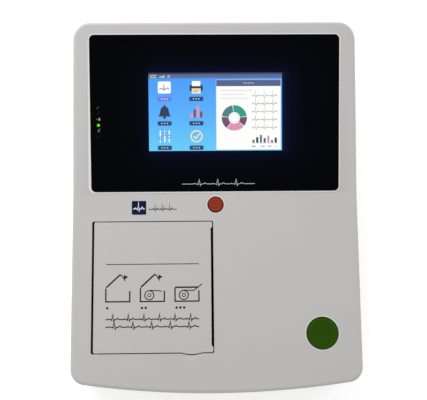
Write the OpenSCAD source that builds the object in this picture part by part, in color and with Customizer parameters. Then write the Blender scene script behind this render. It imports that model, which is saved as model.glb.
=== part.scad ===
// Desktop electrocardiograph with a touch screen and a built-in 80 mm strip printer.
// Frame: X to the right, Y to the rear, Z up, millimetres.
// Origin: centre of the footprint, on the surface that the rubber feet stand on.
// The paper feed axes all run along Y; "t" is a distance along a top face from the crease line,
// to the rear on the sloped screen section and to the front on the level deck.

/* [Housing] */
// Width at the parting line
case_w = 235; // [233:1:238]
// Length at the parting line
case_l = 300; // [298:1:304]
// Height of the level front deck
deck_z = 52; // [51.5:0.1:52.5]
// Height of the parting line between the two shells
part_z = 27.5; // [26.5:0.5:28]
// Slope of the screen section, degrees
screen_slope = 11.5; // [10:0.5:12.5]
// Distance of the crease line behind the centre
crease_y = 10; // [9.5:0.1:10.5]
// Wall thickness
wall = 2.5; // [2.2:0.1:2.6]
// Draft of the upper walls, degrees
draft_up = 5; // [4:0.5:5.5]
// Corner radius at the front
corner_f = 14; // [13:1:16]
// Corner radius at the rear
corner_r = 18; // [16:1:20]
// Radius of the bowed front edge
front_arc = 750; // [700:10:900]

/* [Screen] */
// Width of the dark screen panel
window_w = 200.6; // [198:0.2:202]
// Length of the dark screen panel along the slope
window_l = 125.8; // [124:0.2:126.5]
// Width of the picture area
lcd_w = 108; // [104:1:110]
// Length of the picture area
lcd_l = 64.8; // [62:0.2:66]

/* [Printer] */
// Paper width
paper_w = 80; // [78:1:80]
// Outer radius of the paper roll
roll_r = 19; // [15:1:19]
// Radius of the rubber platen roller
platen_r = 6; // [5.8:0.1:6]

/* [Buttons] */
// Radius of the round print button
print_r = 12.7; // [12:0.1:13]
// Radius of the round power button
power_r = 6.5; // [6:0.1:6.6]
// Travel of both buttons
travel = 1; // [0.6:0.1:1.1]

/* [Hidden] */

// Small overlap that keeps cut faces from coinciding
e = 0.5;
gap = 0.3;          // gap between the two shells at the parting line
lip_t = 1.1;        // thickness of the lower shell's locating lip
lip_h = 2;          // its height above the parting line
top_fillet = 3;     // rounding of the upper shell's top edge
foot_h = 3;         // height of the rubber feet
draft_down = 3;     // draft of the lower walls, degrees
bottom_fillet = 5;  // rounding of the lower shell's bottom edge
floor_z = foot_h + wall;

// Outline of the housing at the parting line: points with their outward normals.
hw = case_w / 2;
hl = case_l / 2;
arc_y = front_arc - hl;
fx = hw - corner_f;
fy = arc_y - sqrt(pow(front_arc - corner_f, 2) - fx * fx);
bow = asin(fx / (front_arc - corner_f));
corner_n = 8;
arc_n = 14;
function fan(cx, cy, r, a0, a1, n, from, to) =
    [for (i = [from:to]) let (a = a0 + (a1 - a0) * i / n)
        [cx + r * cos(a), cy + r * sin(a), cos(a), sin(a)]];
outline = concat(
    [[hw, crease_y, 1, 0]],
    fan(hw - corner_r, hl - corner_r, corner_r, 0, 90, corner_n, 0, corner_n),
    fan(corner_r - hw, hl - corner_r, corner_r, 90, 180, corner_n, 0, corner_n),
    [[-hw, crease_y, -1, 0]],
    fan(-fx, fy, corner_f, 180, 270 - bow, corner_n, 0, corner_n),
    fan(0, arc_y, front_arc, 270 - bow, 270 + bow, arc_n, 1, arc_n - 1),
    fan(fx, fy, corner_f, 270 + bow, 360, corner_n, 0, corner_n));
left_crease = 2 * corner_n + 3;

function top_at(y) = deck_z + max(0, y - crease_y) * tan(screen_slope);
// Inset of the drafted wall where it would meet the top face
function wall_inset(o) =
    let (d = (top_at(o[1]) - part_z) * tan(draft_up))
    (top_at(o[1] - d * o[3]) - part_z) * tan(draft_up);
function top_point(o, inset, drop) =
    let (y = o[1] - inset * o[3]) [o[0] - inset * o[2], y, top_at(y) - drop];
function flat_point(o, inset, z) = [o[0] - inset * o[2], o[1] - inset * o[3], z];

// One ring of the upper shell's rounded top edge; a runs from 0 at the wall to 90 on the top face
function fillet_ring(a) = [for (o = outline)
    top_point(o, wall_inset(o) + top_fillet * (1 - cos(a) - tan(draft_up)),
        top_fillet * (1 - sin(a)))];
function flat_ring(inset, z) = [for (o = outline) flat_point(o, inset, z)];
function lower_inset(z) = (part_z - z) * tan(draft_down);
function lower_ring(a) = let (z = foot_h + bottom_fillet * (1 - sin(a)))
    flat_ring(lower_inset(foot_h + bottom_fillet) + bottom_fillet * (1 - cos(a)), z);

// Closed solid through a stack of rings, lowest first. The top face folds along the crease.
module loft(rings) {
    n = len(outline);
    points = [for (ring = rings) each ring];
    sides = [for (k = [0:len(rings) - 2]) for (i = [0:n - 1])
        let (j = (i + 1) % n, lo = k * n, hi = k * n + n)
        each [[lo + i, hi + i, hi + j], [lo + i, hi + j, lo + j]]];
    base = [for (i = [0:n - 1]) i];
    last = (len(rings) - 1) * n;
    screen_face = [for (i = [left_crease:-1:0]) last + i];
    deck_face = concat([last], [for (i = [n - 1:-1:left_crease]) last + i]);
    polyhedron(points, concat([base], sides, [screen_face, deck_face]), convexity = 6);
}

module block(x0, x1, y0, y1, z0, z1) translate([x0, y0, z0]) cube([x1 - x0, y1 - y0, z1 - z0]);
module post(x, y, z0, z1, r) translate([x, y, z0]) cylinder(r = r, h = z1 - z0, $fn = 64);
module rod_y(x, z, y0, y1, r) translate([x, y0, z]) rotate([-90, 0, 0])
    cylinder(r = r, h = y1 - y0, $fn = 64);
module round_rect(w, l, r) {
    square([w - 2 * r, l], center = true);
    square([w, l - 2 * r], center = true);
    for (sx = [-1, 1], sy = [-1, 1])
        translate([sx * (w / 2 - r), sy * (l / 2 - r)]) circle(r, $fn = 48);
}
module plate(x, y, z, w, l, h, r) translate([x, y, z]) linear_extrude(h) round_rect(w, l, r);
// Local frame of the screen section: x right, y up the slope from the crease, z outward
module on_screen() translate([0, crease_y, deck_z]) rotate([screen_slope, 0, 0]) children();
// Draws an outline given in X and Z, running from y1 back to y0
module along_y(y0, y1) translate([0, y1, 0]) rotate([90, 0, 0]) linear_extrude(y1 - y0) children();
// Draws an outline given in Y and Z, running from x0 to x1
module along_x(x0, x1) translate([x0, 0, 0]) rotate([90, 0, 90]) linear_extrude(x1 - x0) children();

// Screws between the shells
boss_at = [[-104, -126], [104, -126], [-108.3, 0], [108.3, 0], [-105, 130], [105, 130]];
boss_r = 3.6;
screw_r = 1.5;
screw_head_r = 2.7;
screw_seat_z = 12;
screw_end_z = 42;

// Screen section
window_t = 65;
window_d = 1.5;
window_gap = 0.25;
lcd_t = 67.1;
light_x = -93.9;
light_t = 56;

// Printer
door_x0 = -97.7;
door_x1 = -4.2;
door_y0 = crease_y - 126.15;
door_y1 = crease_y - 22.5;
open_x0 = -99.55;
open_x1 = -2.1;
open_y0 = crease_y - 126.95;
open_y1 = crease_y - 21.75;
slot_y0 = crease_y - 121.2;
slot_y1 = crease_y - 27.5;
mid_y = (open_y0 + open_y1) / 2;
hinge_x = -94.9;
hinge_z = deck_z - 3;
hinge_r = 1.25;
barrel_r = 2.8;
notch_x = -19.8;      // finger lip on the door's front edge: middle, arc radius, reach
notch_r = 31;
notch_out = 1.25;
scoop_r = 30;         // hollow in the deck in front of it
scoop_d = 1.4;
platen_x = -12.5;
platen_z = deck_z - 10;
shaft_r = 2;
bush_r = 4;
run = 0.05;           // radial running clearance
cheek_in = 42;        // inner face of the door's bearing cheeks, from the paper's centre line
cheek_t = 2.5;
gear_in = 44.9;       // inner face of the gears
gear_t = 4;
gear_m = 0.8;
platen_teeth = 16;
idler_teeth = 24;
pinion_teeth = 14;
idler_x = platen_x;
idler_z = platen_z - gear_m * (platen_teeth + idler_teeth) / 2;
motor_angle = 197.5;
motor_reach = gear_m * (idler_teeth + pinion_teeth) / 2;
motor_x = idler_x + motor_reach * cos(motor_angle);
motor_z = idler_z + motor_reach * sin(motor_angle);
motor_r = 12;
motor_shaft_r = 1;
head_a = -20;         // direction from the platen's axis to the line where it presses the head
head_gap = 0.5;       // room for the paper between platen and head
head_pin_x = -9.3;
head_pin_z = 24.5;
roll_x = -72;
roll_z = 28.5;
core_r = 8;
spindle_r = 6;
journal_r = 3;
bay_wall = 2;
bay_x1 = -42;

// Buttons
power_y = crease_y - 8.67;
print_x = 83.9;
print_y = crease_y - 112.2;
flange_h = 1.6;
flange_z = deck_z - wall - flange_h - 0.2;
board_z = 36;

// Rear connectors
panel_y = 136;
panel_t = 2.5;
face_y = panel_y + panel_t;
rim_y = 144.5;        // rear end of the panel's rim, just inside the shells
inlet_x = -68;
inlet_z = 34.5;
switch_x = -31;
switch_z = 41;
earth_z = 21;
lan_x = -8;
usb_x = 9.5;
serial_x = 36.5;
patient_x = 74;
socket_z = 28.2;
pcb_z = 20;
pcb_t = 1.6;

module top_case() color("gainsboro") {
    difference() {
        loft([flat_ring(0, part_z + gap), each [for (a = [0:22.5:90]) fillet_ring(a)]]);
        loft([flat_ring(wall, part_z), [for (o = outline)
            top_point(o, wall_inset(o) + wall, wall)]]);
        // step that takes the lower shell's lip
        loft([flat_ring(lip_t + 0.25, part_z), flat_ring(lip_t + 0.25, part_z + lip_h + 0.4)]);
        // screen recess, picture opening and indicator opening
        on_screen() plate(0, window_t, -window_d, window_w + 2 * window_gap,
            window_l + 2 * window_gap, 6, 3.75 + window_gap);
        on_screen() plate(0, lcd_t, -8, 121, 79, 10, 1);
        on_screen() plate(light_x, light_t, -8, 6, 26, 10, 1);
        // printer door opening and the finger scoop in front of it
        plate((open_x0 + open_x1) / 2, mid_y, 40, open_x1 - open_x0, open_y1 - open_y0, 20, 1.5);
        translate([0, 0, 40]) linear_extrude(20) finger_lip(0.75, open_y0);
        translate([notch_x, open_y0 + 3.5, deck_z + scoop_r - scoop_d])
            sphere(r = scoop_r, $fn = 96);
        // button holes
        post(0, power_y, 40, 60, power_r + 0.25);
        post(print_x, print_y, 40, 60, print_r + 0.3);
        // the hinge pin's ends lie partly in the deck
        rod_y(hinge_x, hinge_z, open_y0 - 4, open_y1 + 4, hinge_r);
        // opening for the rear panel
        block(-96, 96, panel_y, hl + 2, part_z - 1, 58);
    }
    difference() {
        union() {
            for (p = boss_at) post(p[0], p[1], part_z + 0.1, top_at(p[1]) - 1.2, boss_r);
            // ears that hold the ends of the door's hinge pin
            for (y = [open_y1, open_y0 - 4])
                block(hinge_x - 4, hinge_x + 5, y, y + 4, hinge_z - 4, deck_z - 1.2);
            // hangers for the two button boards
            for (s = [-1, 1]) {
                post(s * 13, power_y + 1, board_z + pcb_t, deck_z - 1.2, 2.4);
                post(print_x + s * 19, print_y, board_z + pcb_t, deck_z - 1.2, 2.6);
            }
        }
        for (p = boss_at) post(p[0], p[1], part_z - 1, screw_end_z + 2, screw_r + 0.02);
        rod_y(hinge_x, hinge_z, open_y0 - 5, open_y1 + 5, hinge_r);
    }
}

module bottom_case() color("whitesmoke") {
    difference() {
        union() {
            difference() {
                loft([each [for (a = [90:-22.5:0]) lower_ring(a)],
                    flat_ring(0, part_z - gap)]);
                loft([flat_ring(lower_inset(floor_z) + wall + 1.6, floor_z),
                    flat_ring(lower_inset(floor_z + 4) + wall, floor_z + 4),
                    flat_ring(wall, part_z + 1)]);
            }
            // locating lip
            difference() {
                loft([flat_ring(wall - lip_t, part_z - 4), flat_ring(wall - lip_t, part_z + lip_h)]);
                loft([flat_ring(wall, part_z - 5), flat_ring(wall, part_z + lip_h + 1)]);
            }
            for (p = boss_at) post(p[0], p[1], floor_z - 1, part_z - 0.1, boss_r);
            // supports of the two circuit boards
            for (p = board_posts) post(p[0], p[1], floor_z - 1, p[2], 3);
            // guides that hold the rear panel's foot
            for (x = [-80, 0, 80]) {
                block(x - 6, x + 6, panel_y - 2.1, panel_y - 0.1, floor_z - 1, 14);
                block(x - 6, x + 6, panel_y - 2, panel_y + 5, floor_z - 1, 10.5);
            }
            // pads for the battery cover's screws
            for (s = [-1, 1]) block(battery_x - 6, battery_x + 6, battery_y + s * 44 - 5.5,
                battery_y + s * 44 + 5.5, floor_z - 1, 10);
            // feet of the printer frame and the paper bay
            for (x = [-30, -4], y = [mid_y - 36, mid_y + 36]) post(x, y, floor_z - 1, frame_z, 4);
        }
        for (p = boss_at) {
            post(p[0], p[1], 0, part_z + 1, screw_r + 0.1);
            post(p[0], p[1], 0, screw_seat_z, screw_head_r + 0.3);
        }
        for (p = board_posts) post(p[0], p[1], floor_z + 1, 60, 1.02);
        for (s = [-1, 1]) post(battery_x, battery_y + s * 44, 0, 9, 1.02);
        block(-96, 96, rim_y + 0.1, hl + 2, 12, part_z + lip_h + 1);
        // battery cover's opening and rebate
        plate(battery_x, battery_y, -1, 84.6, 74.6, 20, 3);
        plate(battery_x, battery_y, -1, 90.6, 98.6, foot_h + 1 + 1.3, 3);
        // cooling slots under the power board, and the speaker's grille
        for (i = [0:6]) plate(-78, 40 + i * 9, -1, 44, 3, 12, 1.4);
        for (r = [4, 8, 12], i = [0:r / 2 * 3 - 1])
            post(speaker_x + r * cos(240 * i / r), speaker_y + r * sin(240 * i / r), -1, 9, 1);
    }
}
frame_z = floor_z + 1.5;
battery_x = 60;
battery_y = -66;
speaker_x = 75;
speaker_y = 60;
power_pcb_z = 13;
board_posts = [[-22, 22, pcb_z], [94, 22, pcb_z], [-22, 126, pcb_z], [94, 126, pcb_z],
    [-102, 20, power_pcb_z], [-46, 20, power_pcb_z], [-102, 104, power_pcb_z],
    [-46, 104, power_pcb_z]];

module case_screws() color("silver") {
    for (p = boss_at) {
        post(p[0], p[1], screw_seat_z - 2.2, screw_seat_z, screw_head_r);
        post(p[0], p[1], screw_seat_z - e, screw_end_z, screw_r);
    }
    for (s = [-1, 1]) translate([battery_x, battery_y + s * 44, foot_h - 1.4]) {
        cylinder(r = 2.2, h = 1.4, $fn = 48);
        cylinder(r = 1, h = 6.5, $fn = 48);
    }
}

module feet() color("dimgray") for (x = [-90, 90], y = [-125, 118])
    difference() {
        post(x, y, 0, foot_h, 8);
        translate([x, y, 0]) rotate_extrude($fn = 64) polygon([[7, -1], [9, -1], [9, 1]]);
    }

module display_window() color([0.03, 0.03, 0.05]) on_screen() difference() {
    plate(0, window_t, -window_d, window_w, window_l, window_d, 3.75);
    // pocket behind the picture area, so that only a thin pane stands over it
    plate(0, lcd_t, -window_d - 1, lcd_w + 6, lcd_l + 6, 1.5, 1);
}

lcd_top = -window_d - 0.1;
module lcd_frame() color("slategray") on_screen() difference() {
    plate(0, lcd_t, lcd_top - 6.4, 120, 78, 6.4, 1);
    plate(0, lcd_t, lcd_top - 4.2, lcd_w + 1, lcd_l + 1, 6, 0.5);
}
module lcd_glass() color([0.35, 0.65, 1]) on_screen()
    plate(0, lcd_t, lcd_top - 4.2, lcd_w + 0.8, lcd_l + 0.8, 4.2, 0.4);

module indicator_board() color("seagreen") on_screen() difference() {
    plate(light_x + 3, light_t, -8, 20, 44, 1.2, 1);
    for (t = [light_t - 18, light_t + 18]) translate([light_x + 3, t, -9])
        cylinder(r = 1.2, h = 4, $fn = 32);
}
module indicator_lights() color("lime") on_screen() for (t = [light_t - 9.2, light_t, light_t + 9.2])
    translate([light_x, t, -6.8]) {
        cylinder(r = 1.5, h = 4, $fn = 48);
        translate([0, 0, 4]) sphere(r = 1.2, $fn = 32);
        cylinder(r = 1.9, h = 0.8, $fn = 48);
    }

// Rear panel and what it carries
module rear_panel() color("lightgray") difference() {
    block(-98, 98, panel_y, rim_y, 10.6, 59.4);
    block(-96, 96, face_y, rim_y + 1, 12, 58);
    panel_hole(inlet_x, inlet_z, 27.8, 32);
    panel_hole(switch_x, switch_z, 19.4, 13.2);
    panel_hole(lan_x, 28.4, 16.4, 14);
    panel_hole(usb_x, 25.2, 15, 7.6);
    panel_hole(serial_x, socket_z, 18.6, 9.8);
    panel_hole(patient_x, socket_z, 26.9, 9.8);
    for (x = [-12.5, 12.5]) rod_y(serial_x + x, socket_z, panel_y - 1, panel_y + 4, 1.6);
    for (x = [-16.65, 16.65]) rod_y(patient_x + x, socket_z, panel_y - 1, panel_y + 4, 1.6);
    for (x = [-20, 20]) rod_y(inlet_x + x, inlet_z, panel_y - 1, panel_y + 4, 1.5);
    rod_y(switch_x, earth_z, panel_y - 1, panel_y + 4, 2.5);
}
module panel_hole(x, z, w, h)
    block(x - w / 2, x + w / 2, panel_y - 1, panel_y + panel_t + 1, z - h / 2, z + h / 2);

drawer_z = inlet_z - 10.4;
cup_z = inlet_z + 4.4;
module inlet_cup(w, h) along_y(face_y - 14, face_y + 3.5) polygon([
    [inlet_x - w / 2, cup_z + h / 2], [inlet_x + w / 2, cup_z + h / 2],
    [inlet_x + w / 2, cup_z - h / 2 + 4], [inlet_x + w / 2 - 4, cup_z - h / 2],
    [inlet_x - w / 2 + 4, cup_z - h / 2], [inlet_x - w / 2, cup_z - h / 2 + 4]]);
module mains_inlet() color([0.1, 0.1, 0.1]) difference() {
    union() {
        along_y(face_y, face_y + 2) translate([inlet_x, inlet_z]) round_rect(49, 35, 3);
        block(inlet_x - 13.7, inlet_x + 13.7, panel_y - 23, face_y + 0.5,
            inlet_z - 15.8, inlet_z + 15.8);
    }
    inlet_cup(24, 16.4);
    block(inlet_x - 10, inlet_x + 10, face_y - 23.5, face_y + 3, drawer_z - 3.9, drawer_z + 3.9);
    for (x = [-20, 20]) rod_y(inlet_x + x, inlet_z, panel_y, face_y + 3, 1.5);
}
pin_at = [[-7, -2], [7, -2], [0, 2]];
module inlet_pins() color("silver") for (p = pin_at) {
    block(inlet_x + p[0] - 1, inlet_x + p[0] + 1, face_y - 14, face_y, cup_z + p[1] - 2,
        cup_z + p[1] + 2);
    block(inlet_x + p[0] - 2.5, inlet_x + p[0] + 2.5, panel_y - 31, panel_y - 23,
        cup_z + p[1] - 0.4, cup_z + p[1] + 0.4);
}
module fuse_drawer() color([0.13, 0.13, 0.14]) difference() {
    union() {
        block(inlet_x - 9.8, inlet_x + 9.8, face_y - 23, face_y + 2.6, drawer_z - 3.7,
            drawer_z + 3.7);
        block(inlet_x - 11, inlet_x + 11, face_y + 2.1, face_y + 3.3, drawer_z - 4.4, drawer_z + 4.4);
    }
    for (s = [-1, 1]) block(inlet_x + s * 4.9 - 2.8, inlet_x + s * 4.9 + 2.8, face_y - 22,
        face_y - 1.5, drawer_z - 2.7, drawer_z + 5);
    block(inlet_x - 4, inlet_x + 4, face_y + 2.7, face_y + 4, drawer_z + 2.4, drawer_z + 5);
}
module fuses() color("silver") for (s = [-1, 1]) {
    for (y = [face_y - 21.7, face_y - 6.8]) rod_y(inlet_x + s * 4.9, drawer_z - 0.1, y, y + 5, 2.6);
    rod_y(inlet_x + s * 4.9, drawer_z - 0.1, face_y - 17.5, face_y - 6, 2.3);
}

module mains_switch() color([0.1, 0.1, 0.1]) difference() {
    union() {
        along_y(face_y, face_y + 1.6) translate([switch_x, switch_z]) round_rect(22, 15.4, 1);
        block(switch_x - 9.6, switch_x + 9.6, panel_y - 14, face_y + 0.5,
            switch_z - 6.5, switch_z + 6.5);
    }
    block(switch_x - 8.2, switch_x + 8.2, face_y - 9, face_y + 3, switch_z - 5.2, switch_z + 5.2);
    translate([switch_x, face_y - 4, switch_z - 6]) cylinder(r = 0.8, h = 12, $fn = 32);
}
// The rocker turns about a vertical pin; at rest it is tipped to its "off" side
module mains_rocker() color([0.12, 0.12, 0.12])
    translate([switch_x, face_y - 4, switch_z]) rotate([0, 0, rocker_tilt]) difference() {
        union() {
            translate([0, 0, -4.9]) linear_extrude(9.8)
                polygon([[-7.2, 0], [-7, 6.2], [0, 5], [7, 6.2], [7.2, 0], [4, -2.4], [-4, -2.4]]);
            translate([0, 0, -5.5]) cylinder(r = 0.75, h = 11, $fn = 32);
        }
    }
rocker_tilt = 7;

module earth_terminal() color("silver") {
    rod_y(switch_x, earth_z, panel_y - 7, panel_y, 4);
    rod_y(switch_x, earth_z, panel_y - e, face_y + e, 2.45);
    rod_y(switch_x, earth_z, face_y, face_y + 1.6, 4.6);
    rod_y(switch_x, earth_z, face_y + 1, hl - 2, 3);
    rod_y(switch_x, earth_z, hl - 2.5, hl - 1, 2.4);
}
module lan_socket() color("silver") difference() {
    block(lan_x - 8, lan_x + 8, face_y - 21, face_y, pcb_z + pcb_t, pcb_z + pcb_t + 13.4);
    block(lan_x - 6, lan_x + 6, face_y - 14, face_y + 1, pcb_z + pcb_t + 2.6, pcb_z + pcb_t + 9.4);
    block(lan_x - 3.2, lan_x + 3.2, face_y - 14, face_y + 1, pcb_z + pcb_t + 1.2,
        pcb_z + pcb_t + 4);
}
module usb_socket() color("silver") {
    difference() {
        block(usb_x - 7.2, usb_x + 7.2, face_y - 14, face_y, pcb_z + pcb_t, pcb_z + pcb_t + 7);
        block(usb_x - 6.2, usb_x + 6.2, face_y - 12, face_y + 1, pcb_z + pcb_t + 1,
            pcb_z + pcb_t + 6);
    }
    block(usb_x - 5.6, usb_x + 5.6, face_y - 12.5, face_y - 1.5, pcb_z + pcb_t + 3.3,
        pcb_z + pcb_t + 5.2);
}
// D-shaped connector shell, in X and Z about its centre
module d_shape(w, h) polygon([[-w / 2, h / 2], [w / 2, h / 2], [w / 2 - 1.6, -h / 2],
    [1.6 - w / 2, -h / 2]]);
module d_socket(x, w, flange, columns, rows) color("silver") difference() {
    union() {
        along_y(panel_y - 1.2, panel_y - 0.05) translate([x, socket_z]) round_rect(flange, 12.5, 2);
        along_y(panel_y - 1, face_y + 5.6) translate([x, socket_z]) d_shape(w, 8.4);
        block(x - w / 2, x + w / 2, panel_y - 11, panel_y - 1, pcb_z + pcb_t, socket_z + 5);
    }
    along_y(panel_y + 1, hl + 1) translate([x, socket_z]) difference() {
        d_shape(w - 1, 7.4);
        d_shape(w - 3.4, 5);
    }
    for (row = [0:rows - 1], i = [0:columns - 1 - row])
        rod_y(x + (i - (columns - 1 - row) / 2) * 2.76, socket_z + 1.42 - row * 2.84,
            face_y, face_y + 7, 0.6);
    for (s = [-1, 1]) rod_y(x + s * (flange / 2 - 2.9), socket_z, panel_y - 3, panel_y + 1, 1.5);
}
module serial_socket() d_socket(serial_x, 17, 30.8, 5, 2);
module patient_socket() d_socket(patient_x, 25.3, 39.1, 8, 2);
jack_at = [serial_x - 12.5, serial_x + 12.5, patient_x - 16.65, patient_x + 16.65];
module jack_screws() color("silver") for (x = jack_at) difference() {
    union() {
        rod_y(x, socket_z, panel_y - 6, face_y + e, 1.45);
        translate([x, face_y, socket_z]) rotate([-90, 0, 0]) cylinder(r = 2.7, h = 4.4, $fn = 6);
    }
    rod_y(x, socket_z, face_y - 1, face_y + 6, 1.2);
}

// Strip printer
module paper_bay() color("gainsboro") difference() {
    block(open_x0 - bay_wall, bay_x1, open_y0 - bay_wall, open_y1 + bay_wall, floor_z,
        deck_z - wall - 0.1);
    block(open_x0, bay_x1 - bay_wall, open_y0, open_y1, floor_z + bay_wall, deck_z);
    // the wall towards the printer is low, so that the paper runs over it
    block(bay_x1 - bay_wall - 1, bay_x1 + 1, open_y0 - 5, open_y1 + 5, 26, deck_z);
    // the corners by the hinge make room for the ears of the upper shell
    for (y = [open_y0 - 5, open_y1 - 0.2])
        block(open_x0 - 5, hinge_x + 5.4, y, y + 5.2, hinge_z - 4.3, deck_z);
    // slots for the ends of the paper spindle
    rod_y(roll_x, roll_z, open_y0 - 5, open_y1 + 5, journal_r + run);
    block(roll_x - journal_r - run, roll_x + journal_r + run, open_y0 - 5, open_y1 + 5, roll_z,
        deck_z);
}

module door_outline() {
    translate([(door_x0 + door_x1) / 2, (door_y0 + door_y1) / 2])
        round_rect(door_x1 - door_x0, door_y1 - door_y0, 1.2);
    // corner lugs beside the paper slot
    lug(door_y0, slot_y0);
    lug(slot_y1, door_y1);
    finger_lip(0, door_y0);
}
module lug(y0, y1) translate([door_x1 - 1.35, (y0 + y1) / 2]) round_rect(5.3, y1 - y0, 1.2);
// Shallow arc that stands out from the door's front edge
module finger_lip(grow, y) intersection() {
    translate([notch_x, door_y0 - notch_out + notch_r]) circle(notch_r + grow, $fn = 128);
    translate([notch_x - 12, y - 5]) square([24, 6]);
}

module printer_door() color("whitesmoke") difference() {
    union() {
        translate([0, 0, deck_z - wall]) linear_extrude(wall) door_outline();
        rod_y(hinge_x, hinge_z, door_y0, door_y1, barrel_r);
        // bearing cheeks for the platen
        for (s = [-1, 1]) translate([0, mid_y + s * (cheek_in + cheek_t / 2) + cheek_t / 2, 0])
            rotate([90, 0, 0]) linear_extrude(cheek_t)
                polygon([[platen_x - 13, deck_z - 1], [platen_x - 6.5, platen_z - 1],
                    [platen_x - 4, platen_z - 5.6], [platen_x + 4, platen_z - 5.6],
                    [platen_x + 6.2, platen_z - 1], [platen_x + 6.2, deck_z - 1]]);
        // stiffening ribs
        for (y = [mid_y - 30, mid_y, mid_y + 30]) block(-89, -24, y - 0.8, y + 0.8, deck_z - wall - 1,
            deck_z - 1);
        block(-89, -87.5, door_y0 + 5, door_y1 - 5, deck_z - wall - 1.2, deck_z - 1);
    }
    rod_y(hinge_x, hinge_z, door_y0 - 1, door_y1 + 1, hinge_r + run);
    rod_y(platen_x, platen_z, mid_y - 60, mid_y + 60, bush_r);
}
module door_pin() color("silver")
    rod_y(hinge_x, hinge_z, open_y0 - 3.8, open_y1 + 3.8, hinge_r);

module platen_roller() color([0.16, 0.16, 0.17]) difference() {
    rod_y(platen_x, platen_z, mid_y - 41, mid_y + 41, platen_r);
    rod_y(platen_x, platen_z, mid_y - 50, mid_y + 50, shaft_r);
}
module platen_shaft() color("silver")
    rod_y(platen_x, platen_z, mid_y - gear_in - gear_t, mid_y + cheek_in + cheek_t + 1.5, shaft_r);
module platen_bushes() color("ivory") for (s = [-1, 1]) difference() {
    rod_y(platen_x, platen_z, mid_y + s * (cheek_in + cheek_t / 2) - cheek_t / 2,
        mid_y + s * (cheek_in + cheek_t / 2) + cheek_t / 2, bush_r);
    rod_y(platen_x, platen_z, mid_y - 60, mid_y + 60, shaft_r + run);
}

// Involute gear: outline of one flank from the base circle to the tip
add_k = 0.8;   // tooth height above the pitch circle, in modules
ded_k = 1.1;   // depth below it
pressure = 20;
backlash = 0.16;
function inv(a) = tan(a) * 180 / PI - a;
function flank_angle(r, rb) = r <= rb ? 0 : inv(acos(rb / r));
function gear_points(n) =
    let (rp = gear_m * n / 2, rb = rp * cos(pressure), ra = rp + add_k * gear_m,
        rd = rp - ded_k * gear_m, r0 = max(rb, rd + 0.05),
        half = 90 / n - backlash / rp * 90 / PI + inv(pressure),
        radii = [for (i = [0:5]) r0 + (ra - r0) * i / 5])
    [for (k = [0:n - 1]) let (c = 360 * k / n) each concat(
        [let (a = c - half) rd * [cos(a), sin(a)]],
        [for (r = radii) let (a = c - half + flank_angle(r, rb)) r * [cos(a), sin(a)]],
        [for (i = [5:-1:0]) let (r = radii[i], a = c + half - flank_angle(r, rb))
            r * [cos(a), sin(a)]],
        [let (a = c + half) rd * [cos(a), sin(a)]])];
module gear(x, z, n, turn, bore) along_y(mid_y - gear_in - gear_t, mid_y - gear_in)
    translate([x, z]) difference() {
        rotate(turn) polygon(gear_points(n));
        circle(bore, $fn = 48);
    }
idler_turn = 90 + 180 / idler_teeth;
// a pinion gap faces the idler wherever an idler tooth points at the pinion
pinion_turn = motor_angle + 180 + 180 / pinion_teeth
    + (motor_angle - idler_turn) * idler_teeth / pinion_teeth;

module platen_gear() color("white") gear(platen_x, platen_z, platen_teeth, -90, shaft_r);
module idler_gear() color("white") difference() {
    gear(idler_x, idler_z, idler_teeth, idler_turn, 1.5 + run);
    for (a = [0:60:300]) rod_y(idler_x + 5.2 * cos(a), idler_z + 5.2 * sin(a),
        mid_y - gear_in - gear_t - 1, mid_y - gear_in + 1, 1.5);
}
module motor_pinion() color("goldenrod") {
    gear(motor_x, motor_z, pinion_teeth, pinion_turn, 0.9);
    rod_y(motor_x, motor_z, mid_y - gear_in - gear_t + 0.4, mid_y - 29.5, motor_shaft_r);
}
module idler_axle() color("silver") {
    rod_y(idler_x, idler_z, mid_y - gear_in - gear_t - 0.5, mid_y - cheek_in + 1, 1.5);
    rod_y(idler_x, idler_z, mid_y - gear_in - gear_t - 1.5, mid_y - gear_in - gear_t - 0.2, 2.4);
}

frame_x0 = -40;
frame_x1 = 6;
module frame_side(y) translate([0, y + cheek_t / 2, 0]) rotate([90, 0, 0]) linear_extrude(cheek_t)
    polygon([[frame_x0, frame_z], [frame_x1, frame_z], [frame_x1, 42], [frame_x1 - 2, 42],
        [-2.5, 35.5], [frame_x0, 35.5]]);
spring_z = 37;        // height of the springs behind the head
module printer_frame() color("darkgray") difference() {
    union() {
        block(frame_x0, frame_x1, mid_y - cheek_in - cheek_t, mid_y + cheek_in + cheek_t, frame_z,
            frame_z + 2);
        for (s = [-1, 1]) frame_side(mid_y + s * (cheek_in + cheek_t / 2));
        block(frame_x1 - 2, frame_x1, mid_y - cheek_in - 1, mid_y + cheek_in + 1, frame_z, 42);
        block(-30, -27, mid_y - 2, mid_y + 2, frame_z, 30.5);
        // paper guide edge
        rod_y(-37.5, 33.5, mid_y - cheek_in - 1, mid_y + cheek_in + 1, 2);
    }
    rod_y(idler_x, idler_z, mid_y - 60, mid_y - 20, 1.5);
    rod_y(motor_x, motor_z, mid_y - 60, mid_y - 38, 4.2);
    rod_y(head_pin_x, head_pin_z, mid_y - 60, mid_y + 60, 1.5);
    for (x = [-30, -4], y = [mid_y - 36, mid_y + 36]) post(x, y, 0, 20, 1.3);
}
module motor_can() color("silver") difference() {
    union() {
        rod_y(motor_x, motor_z, mid_y - 41.9, mid_y - 27, motor_r);
        rod_y(motor_x, motor_z, mid_y - cheek_in - e, mid_y - 41, 4.1);
        block(motor_x - 6, motor_x + 6, mid_y - 40, mid_y - 29, frame_z + 2.05, motor_z);
    }
    rod_y(motor_x, motor_z, mid_y - 50, mid_y - 29, motor_shaft_r + run);
}

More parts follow.
